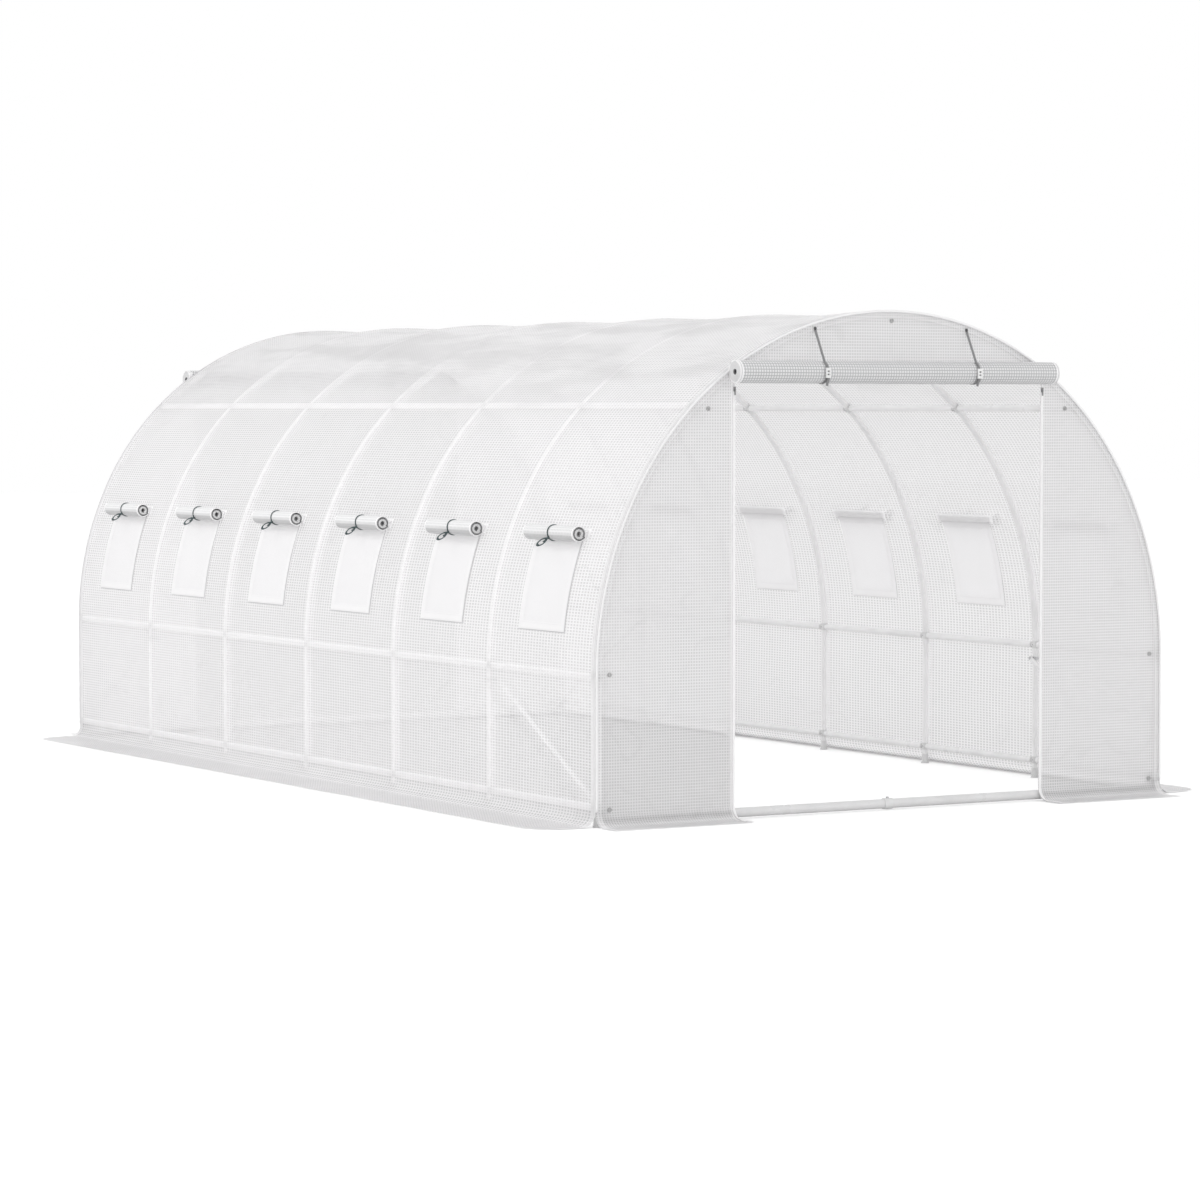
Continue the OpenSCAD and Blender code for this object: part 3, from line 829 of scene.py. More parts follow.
class TUNNEL_OT_cover(Dressing):
    """One length of film over all the hoops, from skirt to skirt, with the window openings cut out."""

    bl_idname = "tunnel.cover"
    bl_label = "Film cover"

    def make(self):
        s = self.sizes
        off, bend = s.film_offset, s.skirt_bend
        flat = s.side_skirt - FILM_LOW
        stretches = [
            flat, bend * math.pi / 2, LEG_TOP - FILM_LOW, SWEEP * (SHOULDER_R + off),
            (math.pi / 2 - SWEEP) * (ROOF_R + off)
        ]
        marks = [0.0]
        for stretch in stretches:
            marks.append(marks[-1] + stretch)
        middle = marks[-1]
        low, high = (
            marks[3] + shoulder_angle(h, off) * (SHOULDER_R + off) for h in (s.window_low, s.window_high)
        )
        half = steps(
            0, 8, marks[1], 5, marks[2], 22, marks[3], 7, low, 15, high, 11, marks[4], 56, middle
        )
        across = half + [2 * middle - a for a in reversed(half[:-1])]
        gap = (BAY - s.window_width) / 2
        along = [-END_Y] + steps_from_hoops(gap, s.window_width) + [END_Y]

        def place(a, y):
            left = a <= middle
            a = a if left else 2 * middle - a
            side = -1 if left else 1
            bay_part = ((y + HALF_LENGTH) / BAY) % 1.0 if abs(y) <= HALF_LENGTH else 0.0
            end = 0.0 if abs(y) < HALF_LENGTH else 1.0
            if a < marks[1]:
                out = marks[1] - a
                corner = max(0.0, 1 - (END_Y - abs(y)) / s.skirt_corner)
                reach = flat * (0.12 + 0.88 * math.sqrt(1 - corner**2))
                out = out * reach / flat * (1 + 0.03 * ripple(0, y, side, 0.35, 3.1) * out / flat)
                lift = 0.0012 + 0.0030 * abs(ripple(out, y, side * 5, 0.16, 7.7)) * min(1, out / 0.05)
                return Vector((side * (LEG_X + off + bend + out), y, lift))
            if a < marks[2]:
                t = (a - marks[1]) / bend
                wave = 0.002 * ripple(0, y, side, 0.2, 1.3) * math.sin(2 * t)
                return Vector(
                    (
                        side * (LEG_X + off + bend - (bend - wave) * math.sin(t)), y,
                        0.0015 + bend - bend * math.cos(t)
                    )
                )
            if a < marks[3]:
                t = (a - marks[2]) / (marks[3] - marks[2])
                inward = s.wall_sag * bump(bay_part) * bump(t) + 0.0012 * ripple(
                    0, y, t, 0.25, 2.2
                ) * bump(bay_part)
                return Vector((side * (LEG_X + off - inward), y, FILM_LOW + a - marks[2]))
            if a < marks[4]:
                angle = (a - marks[3]) / (SHOULDER_R + off)
            else:
                angle = SWEEP + (a - marks[4]) / (ROOF_R + off)
            crown = max(0.0, (angle - PURLIN_ANGLE) / (math.pi / 2 - PURLIN_ANGLE))
            if angle < PURLIN_ANGLE:
                slack = s.wall_sag * bump(angle / PURLIN_ANGLE)
            else:
                slack = s.crown_sag * math.sin(crown * math.pi / 2) ** 0.8
            inward = slack * bump(bay_part) ** 0.7 + 0.0025 * ripple(
                angle * 2, y, side, 0.3, 5.0
            ) * bump(bay_part) * (0.3 + crown)
            point, _ = on_section(angle, off - inward)
            return Vector((side * point.x, y, point.z))

        def keep(a, y):
            a = min(a, 2 * middle - a)
            if not low < a < high:
                return True
            t = ((y + HALF_LENGTH) / BAY) % 1.0 * BAY
            return not gap < t < gap + s.window_width

        bm, area = cloth(across, along, place, from_axis, keep)
        mesh = to_mesh(bm, "film_cover")
        nodes = [
            f"{side}_{part}" for side in ("left", "right")
            for part in ("wall_film", "window_film", "roof_film", "skirt")
        ]
        cover = finished(
            "film_cover", mesh, "root", film_finish("Reinforced film", self.colours, s, 2 * middle),
            "film", *nodes
        )
        2 * middle


def steps_from_hoops(gap, width):
    """Places along the tunnel for the cover's grid lines, with one on each window's edge and each hoop."""
    made = [-HALF_LENGTH]
    for n in range(BAYS):
        y = -HALF_LENGTH + n * BAY
        made += steps(y, 10, y + gap, 16, y + gap + width, 10, y + BAY)[1:]
    return made


class TUNNEL_OT_end_covers(Dressing):
    """The film over each end: two side panels with their skirts, and the gable over the doorway."""

    bl_idname = "tunnel.end_covers"
    bl_label = "End covers"

    def make(self):
        s = self.sizes
        # painted shade: the end covers get a darker copy of the film finish (tint 0.84 of the thread and
        # film colours by 0.85)
        material = film_finish("Shaded end film", self.colours, s, s.end_skirt - 0.007, tint=0.85, cover=False)
        top = arch_top(s.doorway, END_FILM_OUT + 0.0003)
        bend = s.skirt_bend
        flat = s.end_skirt - FILM_LOW
        for end, sign in ENDS:
            face = sign * (END_Y + 0.0015)
            for side, hand in SIDES:
                start = flat + bend * math.pi / 2
                up = steps(
                    0, 6, flat, 5, start, 26, start + LEG_TOP - FILM_LOW, 52,
                    start + s.door_top - FILM_LOW, 4, start + top - FILM_LOW - 0.0008
                )
                width = LEG_X + FILM_OUT - s.doorway
                out = steps(0, 30, width)

                def place(a, b, sign=sign, hand=hand, face=face, start=start, width=width):
                    z = FILM_LOW + b - start
                    if b < start:
                        x = s.doorway + a
                        if b < flat:
                            far = flat - b
                            lift = 0.0012 + 0.003 * abs(
                                ripple(x * hand, far, sign, 0.14, 4.4)
                            ) * min(1, far / 0.04)
                            far *= 1 + 0.03 * ripple(x * hand, 0, sign, 0.3, 6.1)
                            return Vector((hand * x, face + sign * (bend + far), lift))
                        t = (b - flat) / bend
                        return Vector(
                            (
                                hand * x, face + sign * (bend - bend * math.sin(t)),
                                0.0015 + bend - bend * math.cos(t)
                            )
                        )
                    reach = arch_reach(z, END_FILM_OUT)
                    x = s.doorway + (reach - s.doorway) * a / width
                    inner = bump((x - s.doorway) / max(0.05, reach - s.doorway)) * bump(z / 2.0)
                    return Vector(
                        (
                            hand * x,
                            face - sign * (
                                0.0015 + 0.004 * inner + 0.002 * ripple(x, 0, z, 0.3, 9 + hand) * inner
                            ),
                            z
                        )
                    )

                bm, area = cloth(out, up, place, lambda p, sign=sign: Vector((0, sign, 0.3)))
                relabel_cut(bm, hand)
                bmesh.ops.remove_doubles(bm, verts=bm.verts, dist=0.0002)
                real = surface_area(bm)
                panel = finished(
                    f"{end}_{side}_panel_film", to_mesh(bm, "panel"), "root", material, "film",
                    f"{end}_{side}_panel"
                )
                tall = up[-1]
                min(real, width * tall)
            xs = steps(-s.doorway, 60, s.doorway)

            def gable(x, t, sign=sign, face=face):
                high = arch_top(x, END_FILM_OUT)
                z = s.door_top + (high - s.door_top) * t
                inner = bump((x + s.doorway) / (2 * s.doorway)) * bump(t)
                crease = 0.006 * ripple(x, z, 0, 0.22, 12.0) + 0.003 * ripple(
                    x * 1.5, z * 3, 0, 0.12, 2.0
                )
                return Vector((x, face - sign * 0.0015 + crease * inner * 0.6, z))

            bm, _ = cloth(xs, steps(0, 12, 1.0), gable, lambda p, sign=sign: Vector((0, sign, 0)))
            relabel_cut(bm, 1)
            area = surface_area(bm)
            tall = CROWN + END_FILM_OUT - s.door_top
            piece = finished(
                f"{end}_gable_film", to_mesh(bm, "gable"), "root", material, "film", f"{end}_gable"
            )


def relabel_cut(bm, hand):
    """Makes the threads of an end cover run level and plumb, and on along its skirt."""
    cut = bm.loops.layers.uv["Cut"]
    for face in bm.faces:
        for loop in face.loops:
            co = loop.vert.co
            down = co.z
            if co.z < FILM_LOW:
                far = abs(co.y) - END_Y
                down = co.z - far if far < 0.06 else -far
            loop[cut].uv = (co.x * hand, down)


class TUNNEL_OT_window_screens(Dressing):
    """Fine net in each window opening, with a sewn hem round it."""

    bl_idname = "tunnel.window_screens"
    bl_label = "Window screens"

    def opening(self):
        """The opening's lower edge, as an angle on the shoulder, and its height along the film."""
        s = self.sizes
        low, high = (shoulder_angle(h, 0.02) for h in (s.window_low, s.window_high))
        return low, (high - low) * (SHOULDER_R + FILM_OUT)

    def make(self):
        s = self.sizes
        net = self.net_finish()
        hem = self.hem_finish()
        low, tall = self.opening()
        half = s.window_width / 2
        inside = s.hem
        lap = inside - 0.005

        def border(a, b):
            return abs(a) > half - inside or b < inside or b > tall - inside

        for side, hand, n, y0 in windows():

            def on_wall(a, b, lift, y0=y0, hand=hand, n=n):
                inner = bump(a / s.window_width + 0.5) * bump(b / tall)
                puff = 0.004 * inner + 0.002 * ripple(a, b, n * hand, 0.12, 3.0) * inner
                point, _ = on_section(low + b / (SHOULDER_R + FILM_OUT), 0.0185 - puff + lift)
                return Vector((hand * point.x, y0 + a, point.z))

            bm, _ = cloth(
                steps(-half + lap, 14, half - lap), steps(lap, 14, tall - lap),
                lambda a, b: on_wall(a, b, 0.0), from_axis
            )
            screen = finished(
                f"window_net_{side}_{n}", to_mesh(bm, "net"), "root", net, "window_mesh", "window_screens"
            )
            bm, _ = cloth(
                steps(-half - 0.004, 3, -half + inside, 10, half - inside, 3, half + 0.004),
                steps(-0.004, 3, inside, 12, tall - inside, 3, tall + 0.004),
                lambda a, b: on_wall(a, b, 0.0022 + 0.0006 * ripple(a, b, n, 0.05, 8.0)), from_axis,
                border
            )
            band = finished(f"window_hem_{side}_{n}", to_mesh(bm, "hem"), "root", hem, "white_tape")
            tall - 2 * lap

    def net_finish(self):
        """Insect net: a very fine weave that reads as even white."""
        f = Finish("Window net", Roughness=0.6)
        u, v = f.cut()
        weave = ((u / 0.0016).fraction() - 0.5).size().most(((v / 0.0016).fraction() - 0.5).size())
        f.put(
            Base_Color=f.mix(weave.ease(0.3, 0.5), (0.93, 0.924, 0.932), (0.96, 0.954, 0.962)),
            Alpha=weave.ease(0.28, 0.42, 0.86, 0.98)
        )
        f.relief(weave * 0.0003, 0.4, 1.0)
        f.let_light_through(self.colours.hem, 0.42)
        return f.material

    def hem_finish(self):
        """Folded white hem with stitches 6 mm from each edge, in shade along its front and lower edges."""
        s = self.sizes
        f = Finish("Window hem", Roughness=0.5, IOR=1.46)
        u, v = f.cut()
        half = s.window_width / 2
        inner = half - s.hem + 0.006
        _, tall = self.opening()
        middle = (v - tall / 2).size()
        ring = ((u.size() - inner).most(middle - (tall / 2 - s.hem + 0.006)).size() < 0.0009).most(
            (u.size() - (half - 0.006)).most(middle - (tall / 2 - 0.006)).size() < 0.0009
        )
        dash = ((u / 0.005).fraction() < 0.6).least((v / 0.005).fraction() < 0.6)
        stitch = ring * dash.most(0.35)
        under = (u < 0.0065 - half).most(v < 0.0010)
        colour = f.mix(stitch, self.colours.hem, shade(self.colours.hem, 0.86))
        f.put(Base_Color=f.mix(under, colour, (0.42, 0.42, 0.43)))
        f.relief(f.cloud(45.0, 3.0) * 0.0012 - stitch * 0.0008, 0.6, 1.0)
        f.let_light_through(self.colours.hem, 0.34)
        return f.material


def rolled(width, outer, inner, pitch, tail, at, turn_cells, loose=0.0, slide=0.002, squeeze=None):
    """Places for a sheet rolled up on itself, its outermost turn loose by a gap, and its flat length.

    at(a, radius, turn) puts a point by its place along the roll and round it; along the tail
    its radius is None.
    """
    turns = 1 + (outer - loose - inner) / pitch
    count = int(turns * turn_cells)

    def radius_at(turn):
        drop = min(1.0, max(0.0, (turn - 1.0) / 0.12))
        return outer - pitch * 0.3 * min(turn, 1.0) - drop * loose - pitch * max(0.0, turn - 1.0)

    far = [tail]
    for k in range(count):
        far.append(far[-1] + 2 * math.pi / turn_cells * radius_at((k + 0.5) / turn_cells))
    along = steps(0, max(2, int(tail / 0.012)), tail) + far[1:]
    turned = {length: k / turn_cells for k, length in enumerate(far)}

    def place(a, b):
        if b < tail:
            return at(a, None, tail - b)
        turn = turned[b]
        angle = 2 * math.pi * turn
        radius = radius_at(turn) * (1 - (squeeze(a) if squeeze else 0.0))
        radius += 0.0010 * ripple(
            a, math.cos(angle) * 0.05, math.sin(angle) * 0.05, 0.08, 5.5
        ) * radius / outer
        edge = (abs(a) / (width / 2)) ** 6
        shift = slide * ripple(b * 3, 0, 0, 0.09, 8.8) * edge * (1 if a > 0 else -1)
        return at(a + shift, radius, angle)

    return along, place, along[-1]


class TUNNEL_OT_window_flaps(Dressing):
    """The window flaps, each rolled up outwards over its window."""

    bl_idname = "tunnel.window_flaps"
    bl_label = "Rolled window flaps"

    def make(self):
        s = self.sizes
        width = s.window_width + 0.036
        material = self.flap_finish(width)
        cells = steps(
            -width / 2, 3, -width / 2 + 0.015, 12, -0.02, 8, 0.02, 12, width / 2 - 0.015, 3, width / 2
        )
        centre, out, up = flap_axis(s)

        def squeeze(a):
            return 0.10 * math.exp(-((a / 0.009) ** 2))

        for side, hand, n, y0 in windows():

            def at(a, radius, turn, hand=hand, y0=y0, n=n):
                if radius is None:
                    point = centre - out * 0.0346 + up * turn
                else:
                    flat = 0.965 + 0.01 * math.sin(n)
                    point = centre - out * math.cos(turn) * radius - up * math.sin(turn) * radius * flat
                return Vector((hand * point.x, y0 + a, point.z))

            along, place, length = rolled(
                width, s.flap_radius, 0.0105, 0.0050, 0.03, at, 24, loose=0.0052, squeeze=squeeze
            )
            middle = Vector((hand * centre.x, y0, centre.z))
            bm, _ = cloth(
                cells, along, place,
                lambda p, middle=middle: Vector((p.x - middle.x, 0, p.z - middle.z))
            )
            piece = finished(
                f"window_flap_{side}_{n}", to_mesh(bm, "flap"), "root", material, "rolled_film",
                "window_rolls"
            )
            thicken(piece, 0.0042)

    def flap_finish(self, width):
        """Flap film: a grid of threads, white hems at the sides, painted shade on the underside of the
        roll, and a dark ring and dark core painted as shade inside it.
        """
        f = Finish("Flap film", Roughness=0.38, IOR=1.46)
        one, two, u, v = thread_grid(f, self.sizes.thread_pitch, 0.22)
        hem = (u.size() > width / 2 - 0.009) * (v < 0.24)
        threads = one.most(two)
        colour = f.mix(threads, (0.64, 0.64, 0.645), (0.84, 0.838, 0.842))
        # painted shade: the outer turn is darkened where it faces down
        underside_shade = v.ease(0.050, 0.075) * v.ease(0.105, 0.130, 1.0, 0.0)
        colour = f.mix(underside_shade * 0.55, colour, (0.34, 0.34, 0.345))
        at_end = u.size() > width / 2 - 0.0045
        inner = (v > 0.24) * (u.size() > width / 2 - 0.02)
        colour = f.mix(inner, colour, (0.74, 0.738, 0.742))
        # painted shade: a dark ring at the ends of the second turn, for the gap between the turns
        colour = f.mix(at_end * (v > 0.24) * (v < 0.40), colour, (0.22, 0.22, 0.225))
        # painted shade: the inner turns are dark, for the shade in the roll's core
        colour = f.mix(v > 0.62, colour, (0.16, 0.16, 0.165))
        colour = f.mix(hem, colour, self.colours.hem)
        f.put(Base_Color=colour, Roughness=f.cloud(30.0, 3.0).ease(0.3, 0.7, 0.30, 0.45))
        f.relief(threads * 0.0004 + f.cloud(24.0, 3.0) * 0.004, 0.5, 1.0)
        return f.material


class TUNNEL_OT_window_ties(Dressing):
    """A cord round each rolled flap, knotted under it, with a loop and a short knotted end."""

    bl_idname = "tunnel.window_ties"
    bl_label = "Window ties"

    def make(self):
        material = self.cord_finish()
        centre, out, up = flap_axis(self.sizes)
        for side, hand in SIDES:
            bm = bmesh.new()
            for n in range(1, BAYS + 1):
                y0 = -HALF_LENGTH + (n - 0.5) * BAY

                def point(across, high, y, hand=hand, y0=y0):
                    p = centre + out * across + up * high
                    return Vector((hand * p.x, y0 + y, p.z))

                ring = [
                    point(math.cos(a) * 0.0345, math.sin(a) * 0.0345, 0.0015 * math.sin(3 * a))
                    for a in (math.radians(d) for d in range(-132, 139, 9))
                ]
                along_path(bm, ring, 0.0024, 8, up=Vector((0, 1, 0)))
                for knot in (
                    (0.020, -0.031, 0.000, 0.0072), (0.025, -0.036, 0.004, 0.0058),
                    (0.023, -0.050, 0.021, 0.0056)
                ):
                    ball = bmesh.ops.create_icosphere(bm, subdivisions=2, radius=knot[3])["verts"]
                    bmesh.ops.scale(bm, vec=(0.8, 1.15, 0.8), verts=ball)
                    bmesh.ops.translate(bm, vec=point(knot[0], knot[1], knot[2]), verts=ball)
                drawn = Vector((hand * 0.66, 0.48, -0.58)).normalized()
                faces = Vector((hand * 0.47, -0.87, -0.05)).cross(drawn).normalized()
                lean = Matrix((faces, drawn, faces.cross(drawn))).transposed().to_4x4()
                closed_loop(bm, point(0.026, -0.037, 0.002) + drawn * 0.024, 0.024, 0.0095, 0.0024, lean)
                along_path(
                    bm,
                    [
                        point(0.022, -0.034, 0.004), point(0.024, -0.041, 0.010),
                        point(0.024, -0.046, 0.016), point(0.023, -0.050, 0.021)
                    ],
                    0.0021, 7, up=Vector((1, 0, 0))
                )
            closed_up(bm)
            finished(
                f"window_ties_{side}", to_mesh(in_order(bm), "ties"), "root", material, "tie_cord",
                "window_ties"
            )

    def cord_finish(self):
        """Braided dark cord with a soft shine."""
        f = Finish("Tie cord", Roughness=0.45)
        braid = f.node("ShaderNodeTexVoronoi", None, {"Scale": 900.0, "Vector": f.place()})["Distance"]
        f.put(Base_Color=f.mix(braid.ease(0.1, 0.6), shade(self.colours.cord, 1.9), self.colours.cord))
        f.relief(braid * 0.0008, 0.6, 1.0)
        return f.material


class TUNNEL_OT_door_rolls(Dressing):
    """The film door of each end, rolled up over its doorway in eleven turns."""

    bl_idname = "tunnel.door_rolls"
    bl_label = "Rolled doors"

    def make(self):
        s = self.sizes
        low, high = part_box("door_rolls")
        width = high.x - low.x
        centre_y, centre_z = door_axis()
        material = self.door_finish(width)
        strap_places = (STRAP_X, -STRAP_X)
        cells = steps(
            -width / 2, 3, -width / 2 + 0.02, 12, -0.43, 6, -0.37, 18, 0.37, 6, 0.43, 12,
            width / 2 - 0.02, 3, width / 2
        )
        for end, sign in ENDS:

            def at(a, radius, turn, sign=sign):
                if radius is None:
                    return Vector((a, sign * (centre_y - 0.0485), centre_z + turn))
                sag = 0.0015 * math.cos(math.pi * a / width) ** 2
                return Vector(
                    (
                        a, sign * (centre_y - math.cos(turn) * radius),
                        centre_z - math.sin(turn) * radius - sag
                    )
                )

            def squeeze(a):
                return 0.05 * sum(math.exp(-(((a - at_strap) / 0.014) ** 2)) for at_strap in strap_places)

            along, place, length = rolled(
                width, s.door_radius, 0.0090, 0.0039, 0.04, at, 30, slide=0.0008, squeeze=squeeze
            )
            bm, _ = cloth(
                cells, along, place,
                lambda p, sign=sign: Vector((0, p.y - sign * centre_y, p.z - centre_z))
            )
            piece = finished(
                f"{end}_door_roll", to_mesh(bm, "door"), "root", material, "rolled_film", "door_rolls"
            )
            thicken(piece, 0.0035)

    def door_finish(self, width):
        """Rolled film: many layers darken the thread grid; its sides are bound in white. The inner turns
        carry painted shade: grey at their bound sides and dark in the core.
        """
        f = Finish("Rolled door film", Roughness=0.42, IOR=1.46)
        one, two, u, v = thread_grid(f, 0.0135, 0.2)
        from_side = width / 2 - u.size()
        threads = one.most(two)
        colour = f.mix(threads, (0.76, 0.76, 0.765), (0.44, 0.44, 0.45))
        colour = f.mix(from_side < 0.015, colour, self.colours.hem)
        colour = f.mix((from_side - 0.006).size() < 0.0025, colour, (0.66, 0.66, 0.665))
        # painted shade: the bound sides of the inner turns are grey at the roll's ends
        colour = f.mix((from_side < 0.003) * (v > 0.55), colour, (0.70, 0.70, 0.705))
        # painted shade: the inner turns are dark, for the shade in the roll's core
        colour = f.mix(v > 2.03, colour, (0.10, 0.10, 0.105))
        f.put(Base_Color=colour, Roughness=f.cloud(30.0, 3.0).ease(0.3, 0.7, 0.34, 0.5))
        f.relief(f.cloud(20.0, 3.0) * 0.004 - threads * 0.0004, 0.5, 1.0)
        return f.material


class TUNNEL_OT_door_straps(Dressing):
    """Two straps hold each rolled door; a buckle closes each and a loose end hangs below."""

    bl_idname = "tunnel.door_straps"
    bl_label = "Door straps"

    def make(self):
        material = webbing_finish("Strap webbing", self.colours.webbing)
        centre = Vector((0, *door_axis()))
        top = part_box("door_straps")[1].z - 0.001
        radius = 0.0520
        for end, sign in ENDS:
            for side, hand in SIDES:
                x = hand * STRAP_X
                wall = END_Y + 0.0042
                path = [(wall, top), (wall + 0.0006, top - 0.012)]
                touch = math.radians(62)
                start = (centre.y + radius * math.cos(touch), centre.z + radius * math.sin(touch))
                for k in range(1, 9):
                    t = k / 9
                    path.append(
                        (wall + (start[0] - wall) * t, top - 0.012 + (start[1] - top + 0.012) * t)
                    )
                path += [
                    (
                        centre.y + radius * math.cos(touch - math.radians(d)),
                        centre.z + radius * math.sin(touch - math.radians(d))
                    )
                    for d in range(0, 232, 8)
                ]
                bm = self.ribbon(path, x, sign)
                tail = [
                    (0.0555, -0.020), (0.053, -0.032), (0.046, -0.043), (0.041, -0.052), (0.040, -0.060)
                ]
                tail = [(centre.y + out, centre.z + up) for out, up in tail]
                more = self.ribbon(tail, x - hand * 0.003, sign)
                mesh = to_mesh(more, "tail")
                bm.from_mesh(mesh)
                bpy.data.meshes.remove(mesh)
                piece = finished(
                    f"{end}_{side}_door_strap", to_mesh(bm, "strap"), "root", material, "grey_webbing",
                    "door_straps"
                )
                thicken(piece, 0.0014)

    def ribbon(self, path, x, sign):
        """A strap 12 mm wide along a path of (out, up) places."""
        far = [0.0]
        for a, b in zip(path, path[1:]):
            far.append(far[-1] + math.dist(a, b))
        half = 0.006

        def place(u, v):
            k = min(range(len(far)), key=lambda i: abs(far[i] - v))
            return Vector((x + u, sign * path[k][0], path[k][1]))

        bm, _ = cloth(steps(-half, 4, half), far, place, lambda p: Vector((0, sign, 0.4)))
        return bm


class TUNNEL_OT_door_zips(Dressing):
    """Zip tapes down both edges of each doorway and out along the skirt, with their coil."""

    bl_idname = "tunnel.door_zips"
    bl_label = "Door zips"

    def make(self):
        s = self.sizes
        material = self.zip_finish()
        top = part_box("door_zips")[1].z
        bend = s.skirt_bend - 0.003
        for end, sign in ENDS:
            for side, hand in SIDES:
                flat = s.end_skirt - FILM_LOW
                start = flat + bend * math.pi / 2
                along = steps(0, 8, flat, 8, start, 60, start + top - FILM_LOW)

                def place(a, b, sign=sign, hand=hand, flat=flat, start=start):
                    face = sign * (END_Y + 0.0050)
                    rise = 0.0016 * math.exp(-((a / 0.0022) ** 2))
                    x = hand * (s.doorway + 0.0055 + a)
                    if b < flat:
                        return Vector((x, face + sign * (bend + flat - b), 0.0062 + rise))
                    if b < start:
                        t = (b - flat) / bend
                        return Vector(
                            (
                                x, face + sign * (bend - (bend - rise) * math.sin(t)),
                                0.0062 + bend - (bend - rise) * math.cos(t)
                            )
                        )
                    return Vector((x, face + sign * rise, FILM_LOW + b - start))

                bm, _ = cloth(
                    [-0.0055, -0.0035, -0.002, -0.0012, -0.0005, 0.0005, 0.0012, 0.002, 0.0035, 0.0055],
                    along, place, lambda p, sign=sign: Vector((0, sign, 0.5))
                )
                piece = finished(
                    f"{end}_{side}_zip", to_mesh(bm, "zip"), "root", material, "white_tape", "door_zips"
                )
                thicken(piece, 0.0012)

    def zip_finish(self):
        """White zip tape with its coil down the middle."""
        f = Finish("Zip tape", Roughness=0.5)
        u, v = f.cut()
        coil = (u.size() < 0.002) * ((v / 0.0026).fraction() < 0.5)
        tape = f.mix(coil, (0.98, 0.975, 0.98), (0.95, 0.945, 0.95))
        f.put(Base_Color=tape)
        f.relief(coil * 0.0006 + ((v / 0.001).fraction() - 0.5).size() * 0.0002, 0.6, 1.0)
        return f.material


class TUNNEL_OT_edge_bands(Dressing):
    """The white welt that closes the cover to the end film, all round each arch."""

    bl_idname = "tunnel.edge_bands"
    bl_label = "Edge welts"

    def make(self):
        material = tape_finish("Edge welt", self.colours)
        for end, sign in ENDS:
            heights = steps(FILM_LOW + 0.004, 30, LEG_TOP)
            legs = [(Vector((LEG_X + WELT_OUT, 0, z)), Vector((1, 0, 0))) for z in heights[:-1]]
            count = 160
            arch = [on_section(math.pi * k / count, WELT_OUT) for k in range(count + 1)]
            back = [(Vector((-p.x, 0, p.z)), -out) for p, out in reversed(legs)]
            path, outs = zip(*legs, *arch, *back)
            far = [0.0]
            for a, b in zip(path, path[1:]):
                far.append(far[-1] + (b - a).length)
            lookup = dict(zip(far, range(len(far))))

            def place(a, b, sign=sign, path=path, outs=outs, lookup=lookup):
                k = lookup[b]
                swell = 0.0026 * (1 - (a / 0.0056) ** 2)
                return path[k] + outs[k] * a + Vector((0, sign * (END_Y + 0.0036 + swell), 0))

            bm, _ = cloth(
                [-0.0055, -0.0045, -0.002, 0.0, 0.002, 0.0042, 0.0052], far, place,
                lambda p, sign=sign: Vector((0, sign, 0))
            )
            piece = finished(
                f"{end}_edge_welt", to_mesh(bm, "welt"), "root", material, "white_tape", "edge_bands"
            )
            thicken(piece, 0.0012)


class TUNNEL_OT_small_fixings(Dressing):
    """Screws through the collars and rivets at the strap ends."""

    bl_idname = "tunnel.small_fixings"
    bl_label = "Small fixings"

    def make(self):
        bm = bmesh.new()
        for hand in (-1, 1):
            for n in range(BAYS + 1):
                y = -HALF_LENGTH + n * BAY
                rail = (Vector((LEG_X, 0, RAIL_Z)), Vector((1, 0, 0)))
                for (centre, out), inwards in (
                    (on_section(0.0, 0.0), 0.0178), (on_section(PURLIN_ANGLE, 0.0), 0.0178),
                    (rail, 0.0156)
                ):
                    head = Matrix.Translation(
                        Vector((hand * centre.x, y, centre.z))
                        - Vector((hand * out.x, 0, out.z)) * inwards
                    )
                    turn = Vector((-hand * out.x, 0, -out.z)).to_track_quat("Z", "Y").to_matrix().to_4x4()
                    bmesh.ops.create_cone(
                        bm, cap_ends=True, segments=8, radius1=0.0042, radius2=0.0030, depth=0.0026,
                        matrix=head @ turn
                    )
        closed_up(bm)
        finished(
            "collar_screws", to_mesh(bm, "screws", smooth=False), "root", zinc_plate("Screw zinc", 0.55),
            "zinc"
        )
        bm = bmesh.new()
        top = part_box("door_straps")[1].z
        for sign in (-1, 1):
            for hand in (-1, 1):
                spot = Matrix.Translation(Vector((hand * STRAP_X, sign * (END_Y + 0.0068), top - 0.008)))
                turn = Vector((0, sign, 0)).to_track_quat("Z", "Y").to_matrix().to_4x4()
                bmesh.ops.create_cone(
                    bm, cap_ends=True, segments=16, radius1=0.0075, radius2=0.0050, depth=0.0030,
                    matrix=spot @ turn
                )
        closed_up(bm)
        finished(
            "strap_rivets", to_mesh(bm, "rivets"), "root", zinc_plate("Rivet steel", 0.12), "dark_metal"
        )


def camera_ray(nodes):
    """1 for what is seen, not lit by; and 1 where no film stands in front of it."""
    path = nodes.node("ShaderNodeLightPath")
    return path["Is Camera Ray"], path["Transparent Depth"] < 0.5


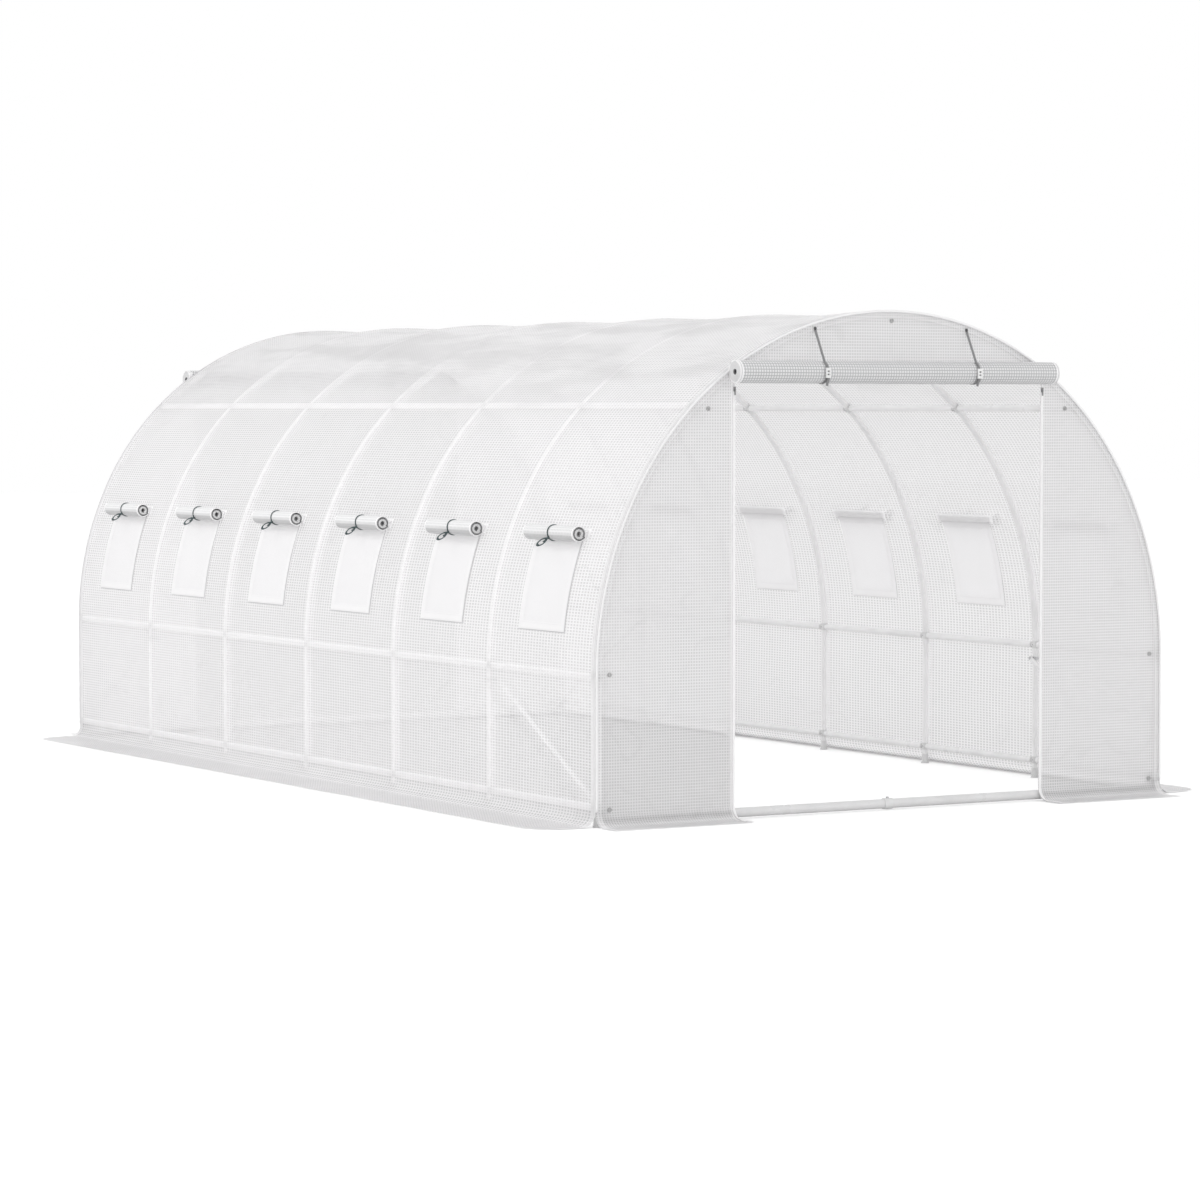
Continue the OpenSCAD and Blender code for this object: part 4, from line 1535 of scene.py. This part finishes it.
class TUNNEL_OT_stage(Dressing):
    """A plain white floor, a soft white surround, one broad light and the camera."""

    bl_idname = "tunnel.stage"
    bl_label = "Studio"

    def make(self):
        scene = bpy.context.scene
        bm = bmesh.new()
        bmesh.ops.create_grid(bm, x_segments=1, y_segments=1, size=60.0)
        bmesh.ops.translate(bm, vec=(0, 0, -0.001), verts=bm.verts)
        floor = bpy.data.objects.new("studio_floor", to_mesh(bm, "studio_floor"))
        scene.collection.objects.link(floor)
        f = Finish("Studio floor", Roughness=0.9)
        f.shader.inputs["Emission Strength"].default_value = 0.33
        ray, direct = camera_ray(f)
        across, along, _ = f.xyz()
        far = (across * across + along * along).root().ease(4.0, 14.0)
        white = (1, 1, 1)
        through = f.mix(far, shade(white, 0.5), shade(white, 0.59))
        f.put(
            Base_Color=f.mix(ray * (1 - direct), shade(white, 0.83), through),
            Emission_Color=f.mix(ray * direct, shade(white, 0), white),
        )
        floor.data.materials.append(f.material)

        world = bpy.data.worlds.new("Studio surround")
        scene.world = world
        world.use_nodes = True
        sky = Nodes(world.node_tree)
        way = sky.node("ShaderNodeSeparateXYZ", None, {0: sky.node("ShaderNodeTexCoord")["Generated"]})
        soft = way["Y"].ease(
            -0.8, 0.5, self.colours.front, 0.86
        ) * way["Z"].ease(0.05, 1.0, 1.0, self.colours.zenith)
        soft = soft * way["Z"].ease(0.0, 0.4, 0.94, 1.07) * way["X"].ease(-0.8, 0.6, 0.92, 1.26)
        ray, direct = camera_ray(sky)
        seen = self.colours.behind_film + (1 - self.colours.behind_film) * direct
        back = next(n for n in world.node_tree.nodes if n.type == "BACKGROUND")
        back.inputs["Color"].default_value = (1, 1, 1, 1)
        strength = ray * seen + (1 - ray) * soft * self.colours.fill
        world.node_tree.links.new(strength.socket, back.inputs["Strength"])

        light = bpy.data.lights.new("studio_softbox", "AREA")
        light.energy, light.size, light.size_y, light.shape = self.colours.lamp, 7.0, 4.0, "RECTANGLE"
        lamp = bpy.data.objects.new("studio_softbox", light)
        lamp.location = (-7.4, 0.5, 8.0)
        lamp.rotation_euler = (Vector((0, 0, 0.9)) - lamp.location).to_track_quat("-Z", "Y").to_euler()
        scene.collection.objects.link(lamp)

        camera = bpy.data.objects.new("studio_camera", bpy.data.cameras.new("studio_camera"))
        camera.data.lens = 120.18
        camera.data.sensor_width = 36.0
        camera.data.clip_end = 200.0
        camera.location = (-10.027, -17.349, 1.777)
        yaw, pitch = 0.530, -0.048
        ahead = Vector(
            (math.sin(yaw) * math.cos(pitch), math.cos(yaw) * math.cos(pitch), math.sin(pitch))
        )
        camera.rotation_euler = ahead.to_track_quat("-Z", "Y").to_euler()
        scene.collection.objects.link(camera)
        scene.camera = camera
        scene.view_settings.view_transform = "Standard"


OPERATORS = (
    TUNNEL_OT_stage,
    TUNNEL_OT_frame_finishes,
    TUNNEL_OT_cover,
    TUNNEL_OT_end_covers,
    TUNNEL_OT_window_screens,
    TUNNEL_OT_window_flaps,
    TUNNEL_OT_window_ties,
    TUNNEL_OT_door_rolls,
    TUNNEL_OT_door_straps,
    TUNNEL_OT_door_zips,
    TUNNEL_OT_edge_bands,
    TUNNEL_OT_small_fixings,
)


class TUNNEL_PT_dressing(bpy.types.Panel):
    """Lists the steps that dress the tunnel."""

    bl_label = "Tunnel dressing"
    bl_idname = "TUNNEL_PT_dressing"
    bl_space_type = "VIEW_3D"
    bl_region_type = "UI"
    bl_category = "Tunnel"

    def draw(self, context):
        for step in OPERATORS:
            self.layout.operator(step.bl_idname)


def register():
    for kind in (TunnelSizes, TunnelColours, *OPERATORS, TUNNEL_PT_dressing):
        bpy.utils.register_class(kind)
    bpy.types.Scene.tunnel_sizes = PointerProperty(type=TunnelSizes)
    bpy.types.Scene.tunnel_colours = PointerProperty(type=TunnelColours)


def unregister():
    del bpy.types.Scene.tunnel_sizes
    del bpy.types.Scene.tunnel_colours
    for kind in reversed((TunnelSizes, TunnelColours, *OPERATORS, TUNNEL_PT_dressing)):
        bpy.utils.unregister_class(kind)


def main():
    register()
    for step in OPERATORS:
        group, name = step.bl_idname.split(".")
        getattr(getattr(bpy.ops, group), name)()


if __name__ == "__main__":
    main()
